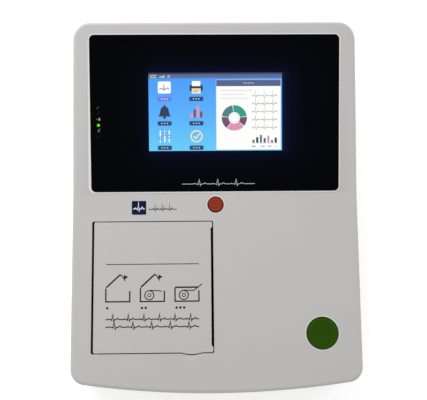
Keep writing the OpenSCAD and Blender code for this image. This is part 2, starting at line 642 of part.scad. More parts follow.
// Local frame of the head: x away from the platen, y up along the head's face, from the line
// where the platen presses
module on_head() translate([platen_x + (platen_r + head_gap) * cos(head_a), 0,
    platen_z + (platen_r + head_gap) * sin(head_a)]) rotate([0, -head_a, 0]) children();
module print_head() color("lightslategray") on_head() {
    block(0, 1, mid_y - 40.5, mid_y + 40.5, -9, 5);
    // cover over the driver chips
    block(-1.2, 0, mid_y - 38, mid_y + 38, -9, -6.2);
}
module head_heatsink() color("silver") difference() {
    union() {
        on_head() block(1, 4.4, mid_y - 41, mid_y + 41, -11.6, 6);
        for (s = [-1, 1]) {
            y = mid_y + s * 39;
            rod_y(head_pin_x, head_pin_z, y - 2, y + 2, 2.9);
        }
        for (s = [-1, 1]) {
            on_head() block(1.2, 4.2, mid_y + s * 39 - 1.9, mid_y + s * 39 + 1.9, -15.5, -11);
            translate([-4, mid_y + s * 25, spring_z]) rotate([0, 90, 0]) {
                cylinder(r = 2.7, h = 3, $fn = 48);
                cylinder(r = 1.2, h = 5, $fn = 48);
            }
        }
    }
    rod_y(head_pin_x, head_pin_z, mid_y - 50, mid_y + 50, 1.5 + run);
}
module head_pin() color("silver")
    rod_y(head_pin_x, head_pin_z, mid_y - cheek_in - cheek_t, mid_y + cheek_in + cheek_t, 1.5);

// Coil spring of round wire along Z, as one swept solid
module coil(r, wire, h, turns) {
    n = turns * 12;
    m = 8;
    points = [for (i = [0:n]) let (a = i * 30, z = wire + (h - 2 * wire) * i / n)
        for (k = [0:m - 1]) let (b = 360 * k / m)
            [(r + wire * cos(b)) * cos(a), (r + wire * cos(b)) * sin(a), z + wire * sin(b)]];
    sides = [for (i = [0:n - 1], k = [0:m - 1]) let (j = (k + 1) % m)
        each [[i * m + k, i * m + j, i * m + m + j], [i * m + k, i * m + m + j, i * m + m + k]]];
    polyhedron(points, concat([[for (k = [m - 1:-1:0]) k]], sides,
        [[for (k = [0:m - 1]) n * m + k]]), convexity = 8);
}
module head_springs() color("silver") for (s = [-1, 1])
    translate([frame_x1 - 2.02, mid_y + s * 25, spring_z]) rotate([0, -90, 0])
        coil(2, 0.3, 4.94, 4);

module paper_roll() color("mistyrose") difference() {
    rod_y(roll_x, roll_z, mid_y - paper_w / 2, mid_y + paper_w / 2, roll_r);
    rod_y(roll_x, roll_z, mid_y - 60, mid_y + 60, core_r);
}
module paper_core() color("burlywood") difference() {
    rod_y(roll_x, roll_z, mid_y - paper_w / 2, mid_y + paper_w / 2, core_r);
    rod_y(roll_x, roll_z, mid_y - 60, mid_y + 60, spindle_r);
}
module paper_spindle() color("dimgray") {
    rod_y(roll_x, roll_z, mid_y - paper_w / 2 - 0.5, mid_y + paper_w / 2 + 0.5, spindle_r);
    for (s = [-1, 1]) rod_y(roll_x, roll_z, mid_y + s * 44.2 - 1.7, mid_y + s * 44.2 + 1.7, 11);
    rod_y(roll_x, roll_z, open_y0 - bay_wall, open_y1 + bay_wall, journal_r);
}
// The strip from the roll, over the guide, past the head and out of the slot
web_t = 0.15;
web_r = platen_r + 0.15;
web_line = concat(
    [[-67.5, 8.9], [-62, 10.9], [-57, 14], [-53, 18.8], [-45, 30.5], [-40.5, 35.2], [-37.5, 36],
        [-30, 36.3], [-20, 35.4]],
    [for (a = [-95:15:head_a]) [platen_x, platen_z] + web_r / cos(7.5) * [cos(a), sin(a)]],
    [for (l = [3, 5.3]) [platen_x, platen_z] + web_r * [cos(head_a), sin(head_a)]
        + l * [-sin(head_a), cos(head_a)]],
    [[-4.05, 47]]);
module paper_web() color("mistyrose") along_y(mid_y - paper_w / 2 + 0.5, mid_y + paper_w / 2 - 0.5)
    polygon(concat(web_line,
        [for (i = [len(web_line) - 1:-1:0])
            let (a = web_line[max(0, i - 1)], b = web_line[min(len(web_line) - 1, i + 1)],
                d = (b - a) / norm(b - a)) web_line[i] + web_t * [d[1], -d[0]]]));
module paper_sensor() color("black") block(-31, -26, mid_y - 3, mid_y + 3, 30.5, 33.5);

// Boards
module main_board() color("seagreen") difference() {
    block(-27, 99, 16, 135, pcb_z, pcb_z + pcb_t);
    for (i = [0:3]) post(board_posts[i][0], board_posts[i][1], 10, 30, 1.3);
}
chip_at = [[30, 60, 24, 24, 1.6], [66, 62, 16, 16, 1.2], [30, 96, 12, 18, 1.1],
    [0, 48, 10, 10, 1.5], [0, 88, 14, 10, 3.4], [70, 96, 20, 8, 4.5], [88, 84, 8, 8, 3],
    [50, 30, 34, 5, 5.5], [-12, 70, 6, 20, 5.2]];
module board_chips() color([0.12, 0.12, 0.12]) {
    for (c = chip_at) block(c[0] - c[2] / 2, c[0] + c[2] / 2, c[1] - c[3] / 2, c[1] + c[3] / 2,
        pcb_z + pcb_t, pcb_z + pcb_t + c[4]);
    for (i = [0:4]) post(-14 + i * 9, 108, pcb_z + pcb_t, pcb_z + pcb_t + 8, 3.1);
}
module board_screws() color("silver") for (p = board_posts) {
    post(p[0], p[1], p[2] + pcb_t, p[2] + pcb_t + 1.8, 2.4);
    post(p[0], p[1], p[2] - 5, p[2] + pcb_t + e, 1);
}
module power_board() color("darkseagreen") difference() {
    block(-107, -41, 15, 109, power_pcb_z, power_pcb_z + pcb_t);
    for (i = [4:7]) post(board_posts[i][0], board_posts[i][1], 5, 30, 1.3);
}
module power_parts() color("goldenrod") {
    top = power_pcb_z + pcb_t;
    block(-84, -58, 48, 74, top, top + 22);
    post(-94, 86, top, top + 24, 8);
    post(-56, 92, top, top + 18, 5);
    post(-56, 34, top, top + 18, 5);
    block(-100, -74, 27, 31, top, top + 20);
    block(-76, -62, 78, 89, top, top + 10);
}
module battery_pack() color("steelblue")
    plate(battery_x, battery_y, foot_h + wall + 0.1, 83, 73, 20, 4);
module battery_cover() color("whitesmoke") difference() {
    union() {
        plate(battery_x, battery_y, foot_h, 90, 98, 1.25, 2.7);
        plate(battery_x, battery_y, foot_h + 1, 84, 74, wall - 0.9, 2.7);
    }
    for (s = [-1, 1]) post(battery_x, battery_y + s * 44, 0, 9, 1.05);
    for (i = [-2:2]) block(battery_x - 14, battery_x + 14, battery_y - 30 + i * 3.2 - 0.6,
        battery_y - 30 + i * 3.2 + 0.6, 0, foot_h + 0.5);
}
module speaker() color([0.2, 0.2, 0.2]) {
    post(speaker_x, speaker_y, floor_z, floor_z + 3, 17);
    post(speaker_x, speaker_y, floor_z + 2, floor_z + 8, 9);
}

// Buttons: a cap with a flange that the deck holds, over a tact switch and a return spring
module cap(x, y, r, crown) {
    difference() {
        union() {
            post(x, y, flange_z, deck_z + 0.1, r);
            post(x, y, flange_z, flange_z + flange_h, r + 1.4);
            translate([x, y, deck_z + 0.1]) rotate_extrude($fn = 96)
                polygon([[0, 0], [r, 0], [r - 0.25, 0.5], [r - 0.9, 0.7], [0, 0.7 - crown]]);
        }
        post(x, y, flange_z - 1, flange_z + 2.2, r - 1.2);
    }
    post(x, y, board_z + pcb_t + 4.3 + travel, flange_z + 3, 2);
}
module power_button() color("firebrick") cap(0, power_y, power_r, 0.2);
module print_button() color([0.16, 0.28, 0.04]) cap(print_x, print_y, print_r, 0.4);
module power_spring() color("silver") translate([0, power_y, board_z + pcb_t + 0.02])
    coil(4.6, 0.25, flange_z + 2.2 - board_z - pcb_t - 0.04, 6);
module print_spring() color("silver") translate([print_x, print_y, board_z + pcb_t + 0.02])
    coil(7, 0.3, flange_z + 2.2 - board_z - pcb_t - 0.04, 6);
module button_boards() color("seagreen") {
    difference() {
        plate(0, power_y + 1, board_z, 32, 14, pcb_t, 2);
        for (s = [-1, 1]) post(s * 13, power_y + 1, 30, 40, 1);
    }
    difference() {
        plate(print_x, print_y, board_z, 45, 22, pcb_t, 2);
        for (s = [-1, 1]) post(print_x + s * 19, print_y, 30, 40, 1);
    }
}
module button_switches() color([0.15, 0.15, 0.15])
    for (p = [[0, power_y], [print_x, print_y]]) {
        block(p[0] - 3, p[0] + 3, p[1] - 3, p[1] + 3, board_z + pcb_t, board_z + pcb_t + 3.4);
        post(p[0], p[1], board_z + pcb_t + 3, board_z + pcb_t + 4.2, 1.7);
    }

// Cables that are fixed inside the housing
module screen_cable() color("orange") along_x(36, 58) polygon([[32.6, 24.2], [35.2, 24.2],
    [36.2, 26], [36.2, 44], [38.5, 47.6], [42, 50.2], [48, 51.4], [48, 51.2], [42.1, 50],
    [38.7, 47.5], [36.4, 44], [36.4, 25.9], [35.3, 24], [32.6, 24]]);
function bend(p, i) = let (a = p[max(0, i - 1)], b = p[min(len(p) - 1, i + 1)])
    (b - a) / norm(b - a);
module wire(p, r) {
    m = 8;
    n = len(p);
    points = [for (i = [0:n - 1]) let (d = bend(p, i), u = cross(d, [0, 0.1, 1]),
        v = u / norm(u), w = cross(d, v)) for (k = [0:m - 1])
            p[i] + r * (cos(360 * k / m) * v + sin(360 * k / m) * w)];
    sides = [for (i = [0:n - 2], k = [0:m - 1]) let (j = (k + 1) % m)
        each [[i * m + k, i * m + m + k, i * m + m + j], [i * m + k, i * m + m + j, i * m + j]]];
    polyhedron(points, concat([[for (k = [0:m - 1]) k]], sides,
        [[for (k = [m - 1:-1:0]) (n - 1) * m + k]]), convexity = 8);
}
module mains_wires() color("saddlebrown") for (i = [0:2]) let (x = inlet_x - 7 + 7 * i,
    z = cup_z + pin_at[i == 1 ? 2 : i / 2][1])
    wire([for (q = [[31.1, z], [34, z], [37, z - 1.5], [38.5, z - 5], [39, z - 9],
        [39, power_pcb_z + pcb_t + 6], [39, power_pcb_z + pcb_t + 0.1]])
        [x, panel_y - q[0], q[1]]], 1.2);
module battery_wires() color("red") for (i = [0:1]) let (x = 42 + 4 * i)
    wire([[x, -29.4, 20], [x, -26, 20], [x, -20, 20.4], [x, -12, 21.6], [x, -2, 23.4],
        [x, 10, 25.6], [x, 18, 26.6], [x, 22, 26], [x, 24, 24.6], [x, 24.2, 21.7]], 0.9);

top_case();
bottom_case();
case_screws();
feet();
display_window();
lcd_frame();
lcd_glass();
indicator_board();
indicator_lights();
rear_panel();
mains_inlet();
inlet_pins();
fuse_drawer();
fuses();
mains_switch();
mains_rocker();
earth_terminal();
lan_socket();
usb_socket();
serial_socket();
patient_socket();
jack_screws();
paper_bay();
printer_door();
door_pin();
platen_roller();
platen_shaft();
platen_gear();
platen_bushes();
printer_frame();
print_head();
head_heatsink();
head_pin();
head_springs();
motor_can();
motor_pinion();
idler_gear();
idler_axle();
paper_roll();
paper_core();
paper_spindle();
paper_web();
paper_sensor();
main_board();
board_chips();
board_screws();
power_board();
power_parts();
battery_pack();
battery_cover();
speaker();
power_button();
print_button();
power_spring();
print_spring();
button_boards();
button_switches();
screen_cable();
mains_wires();
battery_wires();
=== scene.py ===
"""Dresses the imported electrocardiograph: materials, prints, the lit screen, camera and light."""
import math

import bmesh
import bpy
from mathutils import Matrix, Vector


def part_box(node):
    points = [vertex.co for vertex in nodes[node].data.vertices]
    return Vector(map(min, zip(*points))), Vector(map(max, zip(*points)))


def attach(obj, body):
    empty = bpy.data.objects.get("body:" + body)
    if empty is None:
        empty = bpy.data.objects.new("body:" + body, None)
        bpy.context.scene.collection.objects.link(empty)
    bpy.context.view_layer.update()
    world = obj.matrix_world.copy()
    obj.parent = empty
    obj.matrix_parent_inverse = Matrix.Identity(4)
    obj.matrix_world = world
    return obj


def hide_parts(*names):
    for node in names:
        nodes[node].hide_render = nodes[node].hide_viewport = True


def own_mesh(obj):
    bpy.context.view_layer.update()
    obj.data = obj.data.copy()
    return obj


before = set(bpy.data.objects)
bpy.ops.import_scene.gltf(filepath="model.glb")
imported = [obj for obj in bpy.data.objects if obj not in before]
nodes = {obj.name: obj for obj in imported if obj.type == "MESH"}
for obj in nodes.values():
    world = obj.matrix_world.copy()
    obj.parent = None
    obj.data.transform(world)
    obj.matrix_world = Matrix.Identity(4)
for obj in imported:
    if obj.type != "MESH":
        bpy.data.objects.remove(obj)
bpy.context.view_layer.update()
MM = 0.001

# places and sizes shared by several pieces, mm
POWER_KEY, PRINT_KEY = (0.0, 1.33, 6.5), (83.9, -102.2, 12.7)  # x, y and radius of the caps
ROLL, ROLL_R, ROLL_HALF = (-72.0, 28.5), 19.0, 40.0  # x and z of the paper roll's axis, its size
MID_Y = -64.35  # the printer's middle
PAINTED_GLOW_REACH = 34  # how far the painted back-light glow reaches in the black pane

# ---------------------------------------------------------------- camera
camera = bpy.data.objects.new("camera", bpy.data.cameras.new("camera"))
bpy.context.scene.collection.objects.link(camera)
camera.location = (-0.01321, -0.07731, 0.650)
camera.rotation_euler = [math.radians(a) for a in (7.852, -1.034, -0.559)]
camera.data.sensor_width = 36
camera.data.sensor_fit = "HORIZONTAL"
camera.data.lens = 62.752
bpy.context.scene.camera = camera


# ---------------------------------------------------------------- materials
def srgb(r, g, b):
    """An 8-bit display colour as the linear colour that a shader takes."""
    c = [v / 255 for v in (r, g, b)]
    return [v / 12.92 if v <= 0.04045 else ((v + 0.055) / 1.055) ** 2.4 for v in c] + [1]


def add_node(tree, kind, **values):
    """A new node; a value goes to the input of that name, or else to the node's own setting."""
    node = tree.nodes.new(kind)
    for key, value in values.items():
        if key in node.inputs:
            node.inputs[key].default_value = value
        else:
            setattr(node, key, value)
    return node


class Shader:
    """A material's node tree, built node by node."""

    def __init__(self, name):
        self.material = bpy.data.materials.new(name)
        self.material.use_nodes = True
        self.tree = self.material.node_tree
        self.bsdf = self.tree.nodes["Principled BSDF"]
        self.place = self.add("ShaderNodeTexCoord").outputs["Object"]

    def add(self, kind, **values):
        return add_node(self.tree, kind, **values)

    def link(self, a, b):
        self.tree.links.new(a, b)

    def set(self, **values):
        """Values for the shader's own inputs, with _ for a space."""
        for key, value in values.items():
            self.bsdf.inputs[key.replace("_", " ")].default_value = value

    def axes(self):
        """The X, Y and Z of the place on the object."""
        split = self.add("ShaderNodeSeparateXYZ")
        self.link(self.place, split.inputs["Vector"])
        return split.outputs

    def noise(self, scale, detail=2.0, rough=0.5, place=None):
        node = self.add("ShaderNodeTexNoise", Scale=scale, Detail=detail, Roughness=rough)
        self.link(place or self.place, node.inputs["Vector"])
        return node.outputs["Fac"]

    def ramp(self, value, stops):
        """Colours by a value: stops are (place, colour)."""
        node = self.add("ShaderNodeValToRGB")
        band = node.color_ramp.elements
        while len(band) < len(stops):
            band.new(0.5)
        for element, (at, colour) in zip(band, stops):
            element.position = at
            element.color = colour
        self.link(value, node.inputs["Fac"])
        return node.outputs["Color"]

    def colour(self, value, stops):
        """The base colour, by a value."""
        self.link(self.ramp(value, stops), self.bsdf.inputs["Base Color"])

    def scale(self, value, low, high, a=0.0, b=1.0):
        """A value between a and b as one between low and high."""
        node = self.add("ShaderNodeMapRange")
        for key, v in zip(("From Min", "From Max", "To Min", "To Max"), (a, b, low, high)):
            node.inputs[key].default_value = v
        self.link(value, node.inputs["Value"])
        return node.outputs["Result"]

    def roughness(self, patches, middle, spread=0.05):
        """Gloss that wanders with a noise."""
        self.link(self.scale(patches, middle - spread, middle + spread, 0.3, 0.7),
                  self.bsdf.inputs["Roughness"])

    def math(self, operation, *values):
        """One sum on numbers and outputs."""
        node = self.add("ShaderNodeMath", operation=operation)
        for socket, value in zip(node.inputs, values):
            if isinstance(value, (int, float)):
                socket.default_value = value
            else:
                self.link(value, socket)
        return node.outputs["Value"]

    def length(self, x, y):
        """Distance from zero of the point x, y."""
        squares = [self.math("MULTIPLY", side, side) for side in (x, y)]
        return self.math("SQRT", self.math("ADD", *squares))

    def bump(self, height, depth):
        """Raised by a height of 0 to 1, the depth in metres."""
        node = self.add("ShaderNodeBump", Strength=1.0, Distance=depth)
        self.link(height, node.inputs["Height"])
        self.link(node.outputs["Normal"], self.bsdf.inputs["Normal"])


def tint(colour, k):
    """The colour, lighter or darker by a factor."""
    return [min(1, c * k) for c in colour[:3]] + [1]


def around_tone(colour, vary):
    """Ramp stops a little to both sides of a colour."""
    return [(0.3, tint(colour, 1 - vary)), (0.7, tint(colour, 1 + vary))]


def moulded(name, colour, rough, grain, depth, vary, patch=22, **extra):
    """Moulded or cast surface: a little uneven in colour and gloss, with a fine eroded grain.

    grain and depth are the grain's size and height in mm, patch the patches in a metre.
    """
    s = Shader(name)
    s.colour(s.noise(patch, 3.0), around_tone(colour, vary))
    s.roughness(s.noise(patch * 9, 4.0), rough)
    s.bump(s.noise(1 / (grain * MM), 2.0, 0.6), depth * MM)
    s.set(**extra)
    return s.material


def brushed(name, colour, rough):
    """Metal with fine lines drawn along Y."""
    s = Shader(name)
    mapping = s.add("ShaderNodeMapping", Scale=(2500, 40, 2500))
    s.link(s.place, mapping.inputs["Vector"])
    lines = s.noise(1.0, 3.0, 0.6, mapping.outputs["Vector"])
    s.colour(lines, around_tone(colour, 0.06))
    s.roughness(s.noise(60, 3.0), rough, 0.08)
    s.bump(lines, 0.004 * MM)
    s.set(Metallic=1.0)
    return s.material


def lit(name, colour, base=(2, 2, 3), rough=0.1):
    """A lit part of the screen or a lit lamp, under its glossy pane."""
    s = Shader(name)
    s.set(Base_Color=srgb(*base), Roughness=rough, Emission_Color=srgb(*colour),
          Emission_Strength=1.0)
    return s.material


def dotted(s, colour):
    """The fine dot mesh of the picture area, as a multiplier on a colour."""
    mesh = s.noise(2600, 1.0)
    node = s.add("ShaderNodeMixRGB", blend_type="MULTIPLY", Fac=1.0)
    s.link(colour, node.inputs["Color1"])
    s.link(s.ramp(mesh, [(0.35, [0.96] * 3 + [1]), (0.65, [1] * 4)]), node.inputs["Color2"])
    return node.outputs["Color"]


PAPER_ROUGH = 0.62
PAPER_TONES = [(0.0, srgb(243, 238, 234)), (0.45, srgb(240, 206, 203)), (1.0, srgb(228, 158, 158))]

housing = moulded("housing", srgb(195, 194, 192), 0.52, 0.42, 0.014, 0.01, 14)
housing_lower = moulded("housing_lower", srgb(192, 191, 189), 0.54, 0.42, 0.014, 0.015, 14)
# a lighter band that stands in for edge highlights: painted highlight round the pane and the keys
highlight_trim = moulded("highlight_trim", srgb(232, 230, 228), 0.4, 0.3, 0.004, 0.01)
charcoal = moulded("charcoal", srgb(30, 30, 32), 0.5, 0.4, 0.012, 0.08)
black_plastic = moulded("black_plastic", srgb(22, 22, 24), 0.42, 0.3, 0.008, 0.12)
white_plastic = moulded("white_plastic", srgb(226, 225, 218), 0.4, 0.3, 0.006, 0.02)
rubber = moulded("rubber", srgb(28, 28, 30), 0.75, 0.25, 0.02, 0.15, 60)
foot_rubber = moulded("foot_rubber", srgb(62, 62, 64), 0.8, 0.3, 0.02, 0.1, 60)
ceramic = moulded("ceramic", srgb(214, 214, 208), 0.25, 0.2, 0.002, 0.02)
cell_wrap = moulded("cell_wrap", srgb(52, 96, 150), 0.35, 0.8, 0.01, 0.04)
copper_flex = moulded("copper_flex", srgb(196, 122, 48), 0.3, 0.5, 0.004, 0.06)
wire_brown = moulded("wire_brown", srgb(92, 58, 36), 0.45, 0.4, 0.006, 0.05)
wire_red = moulded("wire_red", srgb(168, 32, 26), 0.45, 0.4, 0.006, 0.05)
part_yellow = moulded("part_yellow", srgb(206, 172, 84), 0.4, 0.5, 0.01, 0.08)
zinc = brushed("zinc", srgb(202, 204, 208), 0.38)
nickel = brushed("nickel", srgb(214, 213, 210), 0.24)
steel = brushed("steel", srgb(190, 191, 194), 0.28)
brass = brushed("brass", srgb(206, 168, 92), 0.3)
gold = brushed("gold", srgb(232, 190, 96), 0.25)
anodised = brushed("anodised", srgb(40, 41, 46), 0.4)


def cap_material(name, colour, rim, key, crest, rough, gloss):
    """Button cap: even over its face, a painted highlight on the crest, painted shade round the
    rim.
    """
    s = Shader(name)
    place = s.axes()
    x = s.math("SUBTRACT", place["X"], key[0] * MM)
    y = s.math("SUBTRACT", place["Y"], key[1] * MM)
    share = s.math("DIVIDE", s.length(x, y), key[2] * MM)
    spread = s.math("MULTIPLY_ADD", s.noise(300, 3.0), 0.03, share)
    # painted highlight ring at the crest, then painted shade out to the rim colour
    s.colour(spread, [(0.0, colour), (crest - 0.12, tint(colour, 1.03)),
                      (crest, tint(colour, 1.22)), (crest + 0.06, tint(colour, 0.96)),
                      (crest + 0.11, rim), (1.0, rim)])
    s.roughness(s.noise(800, 4.0), rough)
    s.bump(s.noise(2800, 2.0, 0.6), 0.006 * MM)
    s.set(Specular_IOR_Level=gloss)
    return s.material


def card_material():
    """Grey-brown board with a coarse fibre."""
    s = Shader("card")
    fibre = s.noise(900, 4.0, 0.7)
    s.colour(fibre, [(0.3, srgb(168, 132, 96)), (0.7, srgb(196, 160, 120))])
    s.bump(fibre, 0.03 * MM)
    s.set(Roughness=0.85)
    return s.material


def circuit_material():
    """Green solder mask over straight copper tracks, with tinned dots."""
    s = Shader("pcb")
    track = s.add("ShaderNodeTexBrick", offset=0.37, **{
        "Scale": 1.0, "Mortar Size": 0.5 * MM, "Brick Width": 10.5 * MM, "Row Height": 1.6 * MM,
        "Bias": -0.2, "Mortar Smooth": 0.2, "Color1": srgb(20, 92, 52), "Color2": srgb(24, 104, 58),
        "Mortar": srgb(46, 128, 70)})
    s.link(s.place, track.inputs["Vector"])
    s.link(track.outputs["Color"], s.bsdf.inputs["Base Color"])
    s.bump(track.outputs["Fac"], 0.03 * MM)
    s.set(Roughness=0.3)
    return s.material


def window_material():
    """Glossy black pane, with a little blue glow of the back light painted round the picture."""
    s = Shader("screen_black")
    place = s.axes()
    # how far a place lies past each edge of the picture, seen from above (edges in mm)
    past = {}
    for side, axis, sign, edge in (("right", "X", 1, 54.1), ("left", "X", -1, 53.3),
                                   ("up", "Y", 1, 105.8), ("low", "Y", -1, -44.4)):
        past[side] = s.math("MAXIMUM", s.math("MULTIPLY_ADD", place[axis], sign, -edge * MM), 0.0)
    across = s.math("MULTIPLY_ADD", past["left"], 1.1, s.math("MULTIPLY", past["right"], 0.8))
    along = s.math("MULTIPLY_ADD", past["up"], 1.1, past["low"])
    away = s.length(across, along)
    # the painted glow is strongest to the right, and weaker below, above and to the left
    for side, less in (("low", 2.4), ("up", 2.6), ("left", 6.0)):
        away = s.math("MULTIPLY_ADD", s.math("GREATER_THAN", past[side], 0.0), less * MM, away)
    s.colour(s.scale(away, 0.0, 1.0, 0.0, PAINTED_GLOW_REACH * MM),
             [(0.0, srgb(20, 29, 60)), (0.05, srgb(13, 20, 48)), (0.11, srgb(9, 14, 38)),
              (0.2, srgb(6, 10, 28)), (0.35, srgb(5, 8, 20)), (0.55, srgb(4, 6, 13)),
              (1.0, srgb(4, 5, 7))])
    s.roughness(s.noise(25, 3.0), 0.07, 0.02)
    return s.material


def grid(s, along, across):
    """Lines both ways, thin ones 1 mm apart and strong ones 5 mm apart: 0 between, 1 on strong."""
    def lines(pitch, width):
        on = [s.math("LESS_THAN", s.math("PINGPONG", value, pitch / 2), width / 2)
              for value in (along, across)]
        return s.math("MAXIMUM", *on)
    fine, bold = lines(1 * MM, 0.12 * MM), lines(5 * MM, 0.26 * MM)
    return s.math("MAXIMUM", s.math("MULTIPLY", fine, 0.45), bold)


def paper_material(name, show):
    """White thermal paper with a pink grid along the strip's run; show is how strong it is."""
    s = Shader(name)
    run = s.add("ShaderNodeAttribute", attribute_name="run").outputs["Fac"]
    s.colour(s.math("MULTIPLY", grid(s, run, s.axes()["Y"]), show), PAPER_TONES)
    s.bump(s.noise(1400, 4.0, 0.7), 0.01 * MM)
    s.set(Roughness=PAPER_ROUGH)
    return s.material


def roll_material():
    """The roll: the printed grid round it, and the edges of its turns on the two ends."""
    s = Shader("paper_roll")
    place = s.axes()
    x = s.math("SUBTRACT", place["X"], ROLL[0] * MM)
    z = s.math("SUBTRACT", place["Z"], ROLL[1] * MM)
    run = s.math("MULTIPLY", s.math("ARCTAN2", z, x), (ROLL_R + 0.1) * MM)
    turns = s.add("ShaderNodeTexNoise", noise_dimensions="1D", Scale=5200, Detail=2.0)
    s.link(s.length(x, z), turns.inputs["W"])
    off_middle = s.math("ABSOLUTE", s.math("SUBTRACT", place["Y"], MID_Y * MM))
    end = s.math("GREATER_THAN", off_middle, (ROLL_HALF - 0.05) * MM)
    mix = s.add("ShaderNodeMixRGB")
    s.link(end, mix.inputs["Fac"])
    s.link(s.ramp(grid(s, run, place["Y"]), PAPER_TONES), mix.inputs["Color1"])
    s.link(s.ramp(turns.outputs["Fac"], [(0.35, srgb(214, 205, 200)), (0.65, srgb(240, 234, 229))]),
           mix.inputs["Color2"])
    s.link(mix.outputs["Color"], s.bsdf.inputs["Base Color"])
    s.bump(s.math("MULTIPLY", turns.outputs["Fac"], end), 0.05 * MM)
    s.set(Roughness=PAPER_ROUGH)
    return s.material


# the second colour is the painted shade round the rim; crest is where the painted highlight ring
# sits
red_button = cap_material("red_button", srgb(138, 48, 21), srgb(112, 16, 0), POWER_KEY,
                          crest=0.76, rough=0.38, gloss=0.25)
green_button = cap_material("green_button", srgb(39, 75, 0), srgb(30, 66, 0), PRINT_KEY,
                            crest=0.88, rough=0.36, gloss=0.12)
pcb = circuit_material()
card = card_material()
screen_black = window_material()
paper_face = paper_material("paper_face", 1.0)
paper_back = paper_material("paper_back", 0.3)
paper_roll_look = roll_material()


def lamp_material():
    """The light-emitting chips on the indicator board, which barely glow."""
    s = Shader("lamp")
    green = srgb(80, 170, 60)
    s.colour(s.noise(500, 1.0), around_tone(green, 0.1))
    s.set(Roughness=0.2, Emission_Color=green, Emission_Strength=0.05)
    return s.material


lamp = lamp_material()

# which nodes wear each material
LOOKS = {
    housing: "top_case printer_door",
    housing_lower: "bottom_case battery_cover rear_panel",
    screen_black: "display_window",
    zinc: "case_screws lcd_frame jack_screws motor_can board_screws",
    nickel: "inlet_pins fuses earth_terminal lan_socket usb_socket serial_socket patient_socket",
    steel: "door_pin platen_shaft head_pin head_springs idler_axle power_spring print_spring",
    brass: "motor_pinion",
    anodised: "head_heatsink",
    charcoal: "paper_bay printer_frame",
    black_plastic: "mains_inlet fuse_drawer mains_switch mains_rocker paper_spindle paper_sensor"
                   " board_chips speaker button_switches",
    white_plastic: "platen_gear platen_bushes idler_gear",
    rubber: "platen_roller",
    foot_rubber: "feet",
    pcb: "indicator_board main_board power_board button_boards",
    lamp: "indicator_lights",
    red_button: "power_button",
    green_button: "print_button",
    paper_roll_look: "paper_roll",
    card: "paper_core",
    ceramic: "print_head",
    cell_wrap: "battery_pack",
    copper_flex: "screen_cable",
    wire_brown: "mains_wires",
    wire_red: "battery_wires",
    part_yellow: "power_parts",
}
# width of the small rounding on each node's sharp edges, mm
SOFT_EDGE = {"top_case": 0.22, "printer_door": 0.22, "bottom_case": 0.3, "display_window": 0.15,
             "battery_cover": 0.3, "rear_panel": 0.25, "mains_inlet": 0.3, "fuse_drawer": 0.2,
             "mains_switch": 0.25, "mains_rocker": 0.25, "power_button": 0.12, "print_button": 0.12,
             "earth_terminal": 0.15, "jack_screws": 0.15, "lan_socket": 0.15, "usb_socket": 0.1,
             "paper_bay": 0.3, "printer_frame": 0.3, "head_heatsink": 0.2, "motor_can": 0.3,
             "battery_pack": 0.5, "paper_spindle": 0.4, "feet": 0.3}

for look, names in LOOKS.items():
    for name in names.split():
        node = nodes[name]
        node.data.materials.clear()
        node.data.materials.append(look)


# flat plates with many holes: their triangles are joined first, or the rounding splits along them
PIERCED = ("rear_panel",)


def finish_edges(piece, width):
    """Joins the split faces, rounds the sharp edges a little and shades the rest smooth."""
    piece.data.shade_smooth()
    weld = piece.modifiers.new("weld", "WELD")
    weld.merge_threshold = 0.0002 * MM
    if piece.name in PIERCED:
        flat = piece.modifiers.new("flat", "DECIMATE")
        flat.decimate_type = "DISSOLVE"
        flat.angle_limit = math.radians(0.5)
    if width:
        bevel = piece.modifiers.new("bevel", "BEVEL")
        bevel.width = width * MM
        bevel.segments = 2
        bevel.limit_method = "ANGLE"
        bevel.angle_limit = math.radians(35)
        bevel.harden_normals = False
    weighted = piece.modifiers.new("normals", "WEIGHTED_NORMAL")
    weighted.keep_sharp = True
    weighted.weight = 60


for name, node in nodes.items():
    finish_edges(node, SOFT_EDGE.get(name, 0.0))


# ---------------------------------------------------------------- drawing on flat places
class Plane:
    """A flat place on the part, in millimetres: u to its right, v up it, h out of it."""

    def __init__(self, origin, right, up):
        self.origin = Vector(origin)
        self.right, self.up = Vector(right).normalized(), Vector(up).normalized()
        self.out = self.right.cross(self.up)

    def at(self, u, v, h=0.0):
        return (self.origin + u * self.right + v * self.up + h * self.out) * MM


SLOPE = math.radians(11.5)
FOLD_Y, DECK_Z, PANEL_Y, FOOT_H = 10, 52, 138.5, 3
SCREEN = Plane((0, FOLD_Y, DECK_Z), (1, 0, 0), (0, math.cos(SLOPE), math.sin(SLOPE)))
DECK = Plane((0, FOLD_Y, DECK_Z), (1, 0, 0), (0, 1, 0))
REAR = Plane((0, PANEL_Y, 0), (-1, 0, 0), (0, 0, 1))
BASE = Plane((0, 0, FOOT_H), (1, 0, 0), (0, -1, 0))
LEVEL = Plane((0, 0, 0), (1, 0, 0), (0, 1, 0))


def arc(cx, cy, r, a0, a1, n):
    """n + 1 points from one angle to another, in degrees."""
    return [(cx + r * math.cos(math.radians(a0 + (a1 - a0) * i / n)),
             cy + r * math.sin(math.radians(a0 + (a1 - a0) * i / n))) for i in range(n + 1)]


def disc(cx, cy, r, n=40):
    return arc(cx, cy, r, 0, 360, n)[:-1]


def rect(x0, y0, x1, y1):
    return [(x0, y0), (x1, y0), (x1, y1), (x0, y1)]


def rounded(cx, cy, w, h, r, n=6):
    """A rectangle about its middle, with round corners."""
    points = []
    for k, (sx, sy) in enumerate(((1, 1), (-1, 1), (-1, -1), (1, -1))):
        points += arc(cx + sx * (w / 2 - r), cy + sy * (h / 2 - r), r, 90 * k, 90 * k + 90, n)
    return points


def beat(x, width, y, height):
    """One heartbeat of a generic electrocardiogram trace."""
    shape = ((0, 0), (0.14, 0), (0.2, 0.13), (0.27, 0), (0.36, 0), (0.4, -0.13), (0.46, 1.0),
             (0.52, -0.34), (0.57, 0), (0.67, 0), (0.77, 0.24), (0.87, 0))
    return [(x + width * u, y + height * v) for u, v in shape]


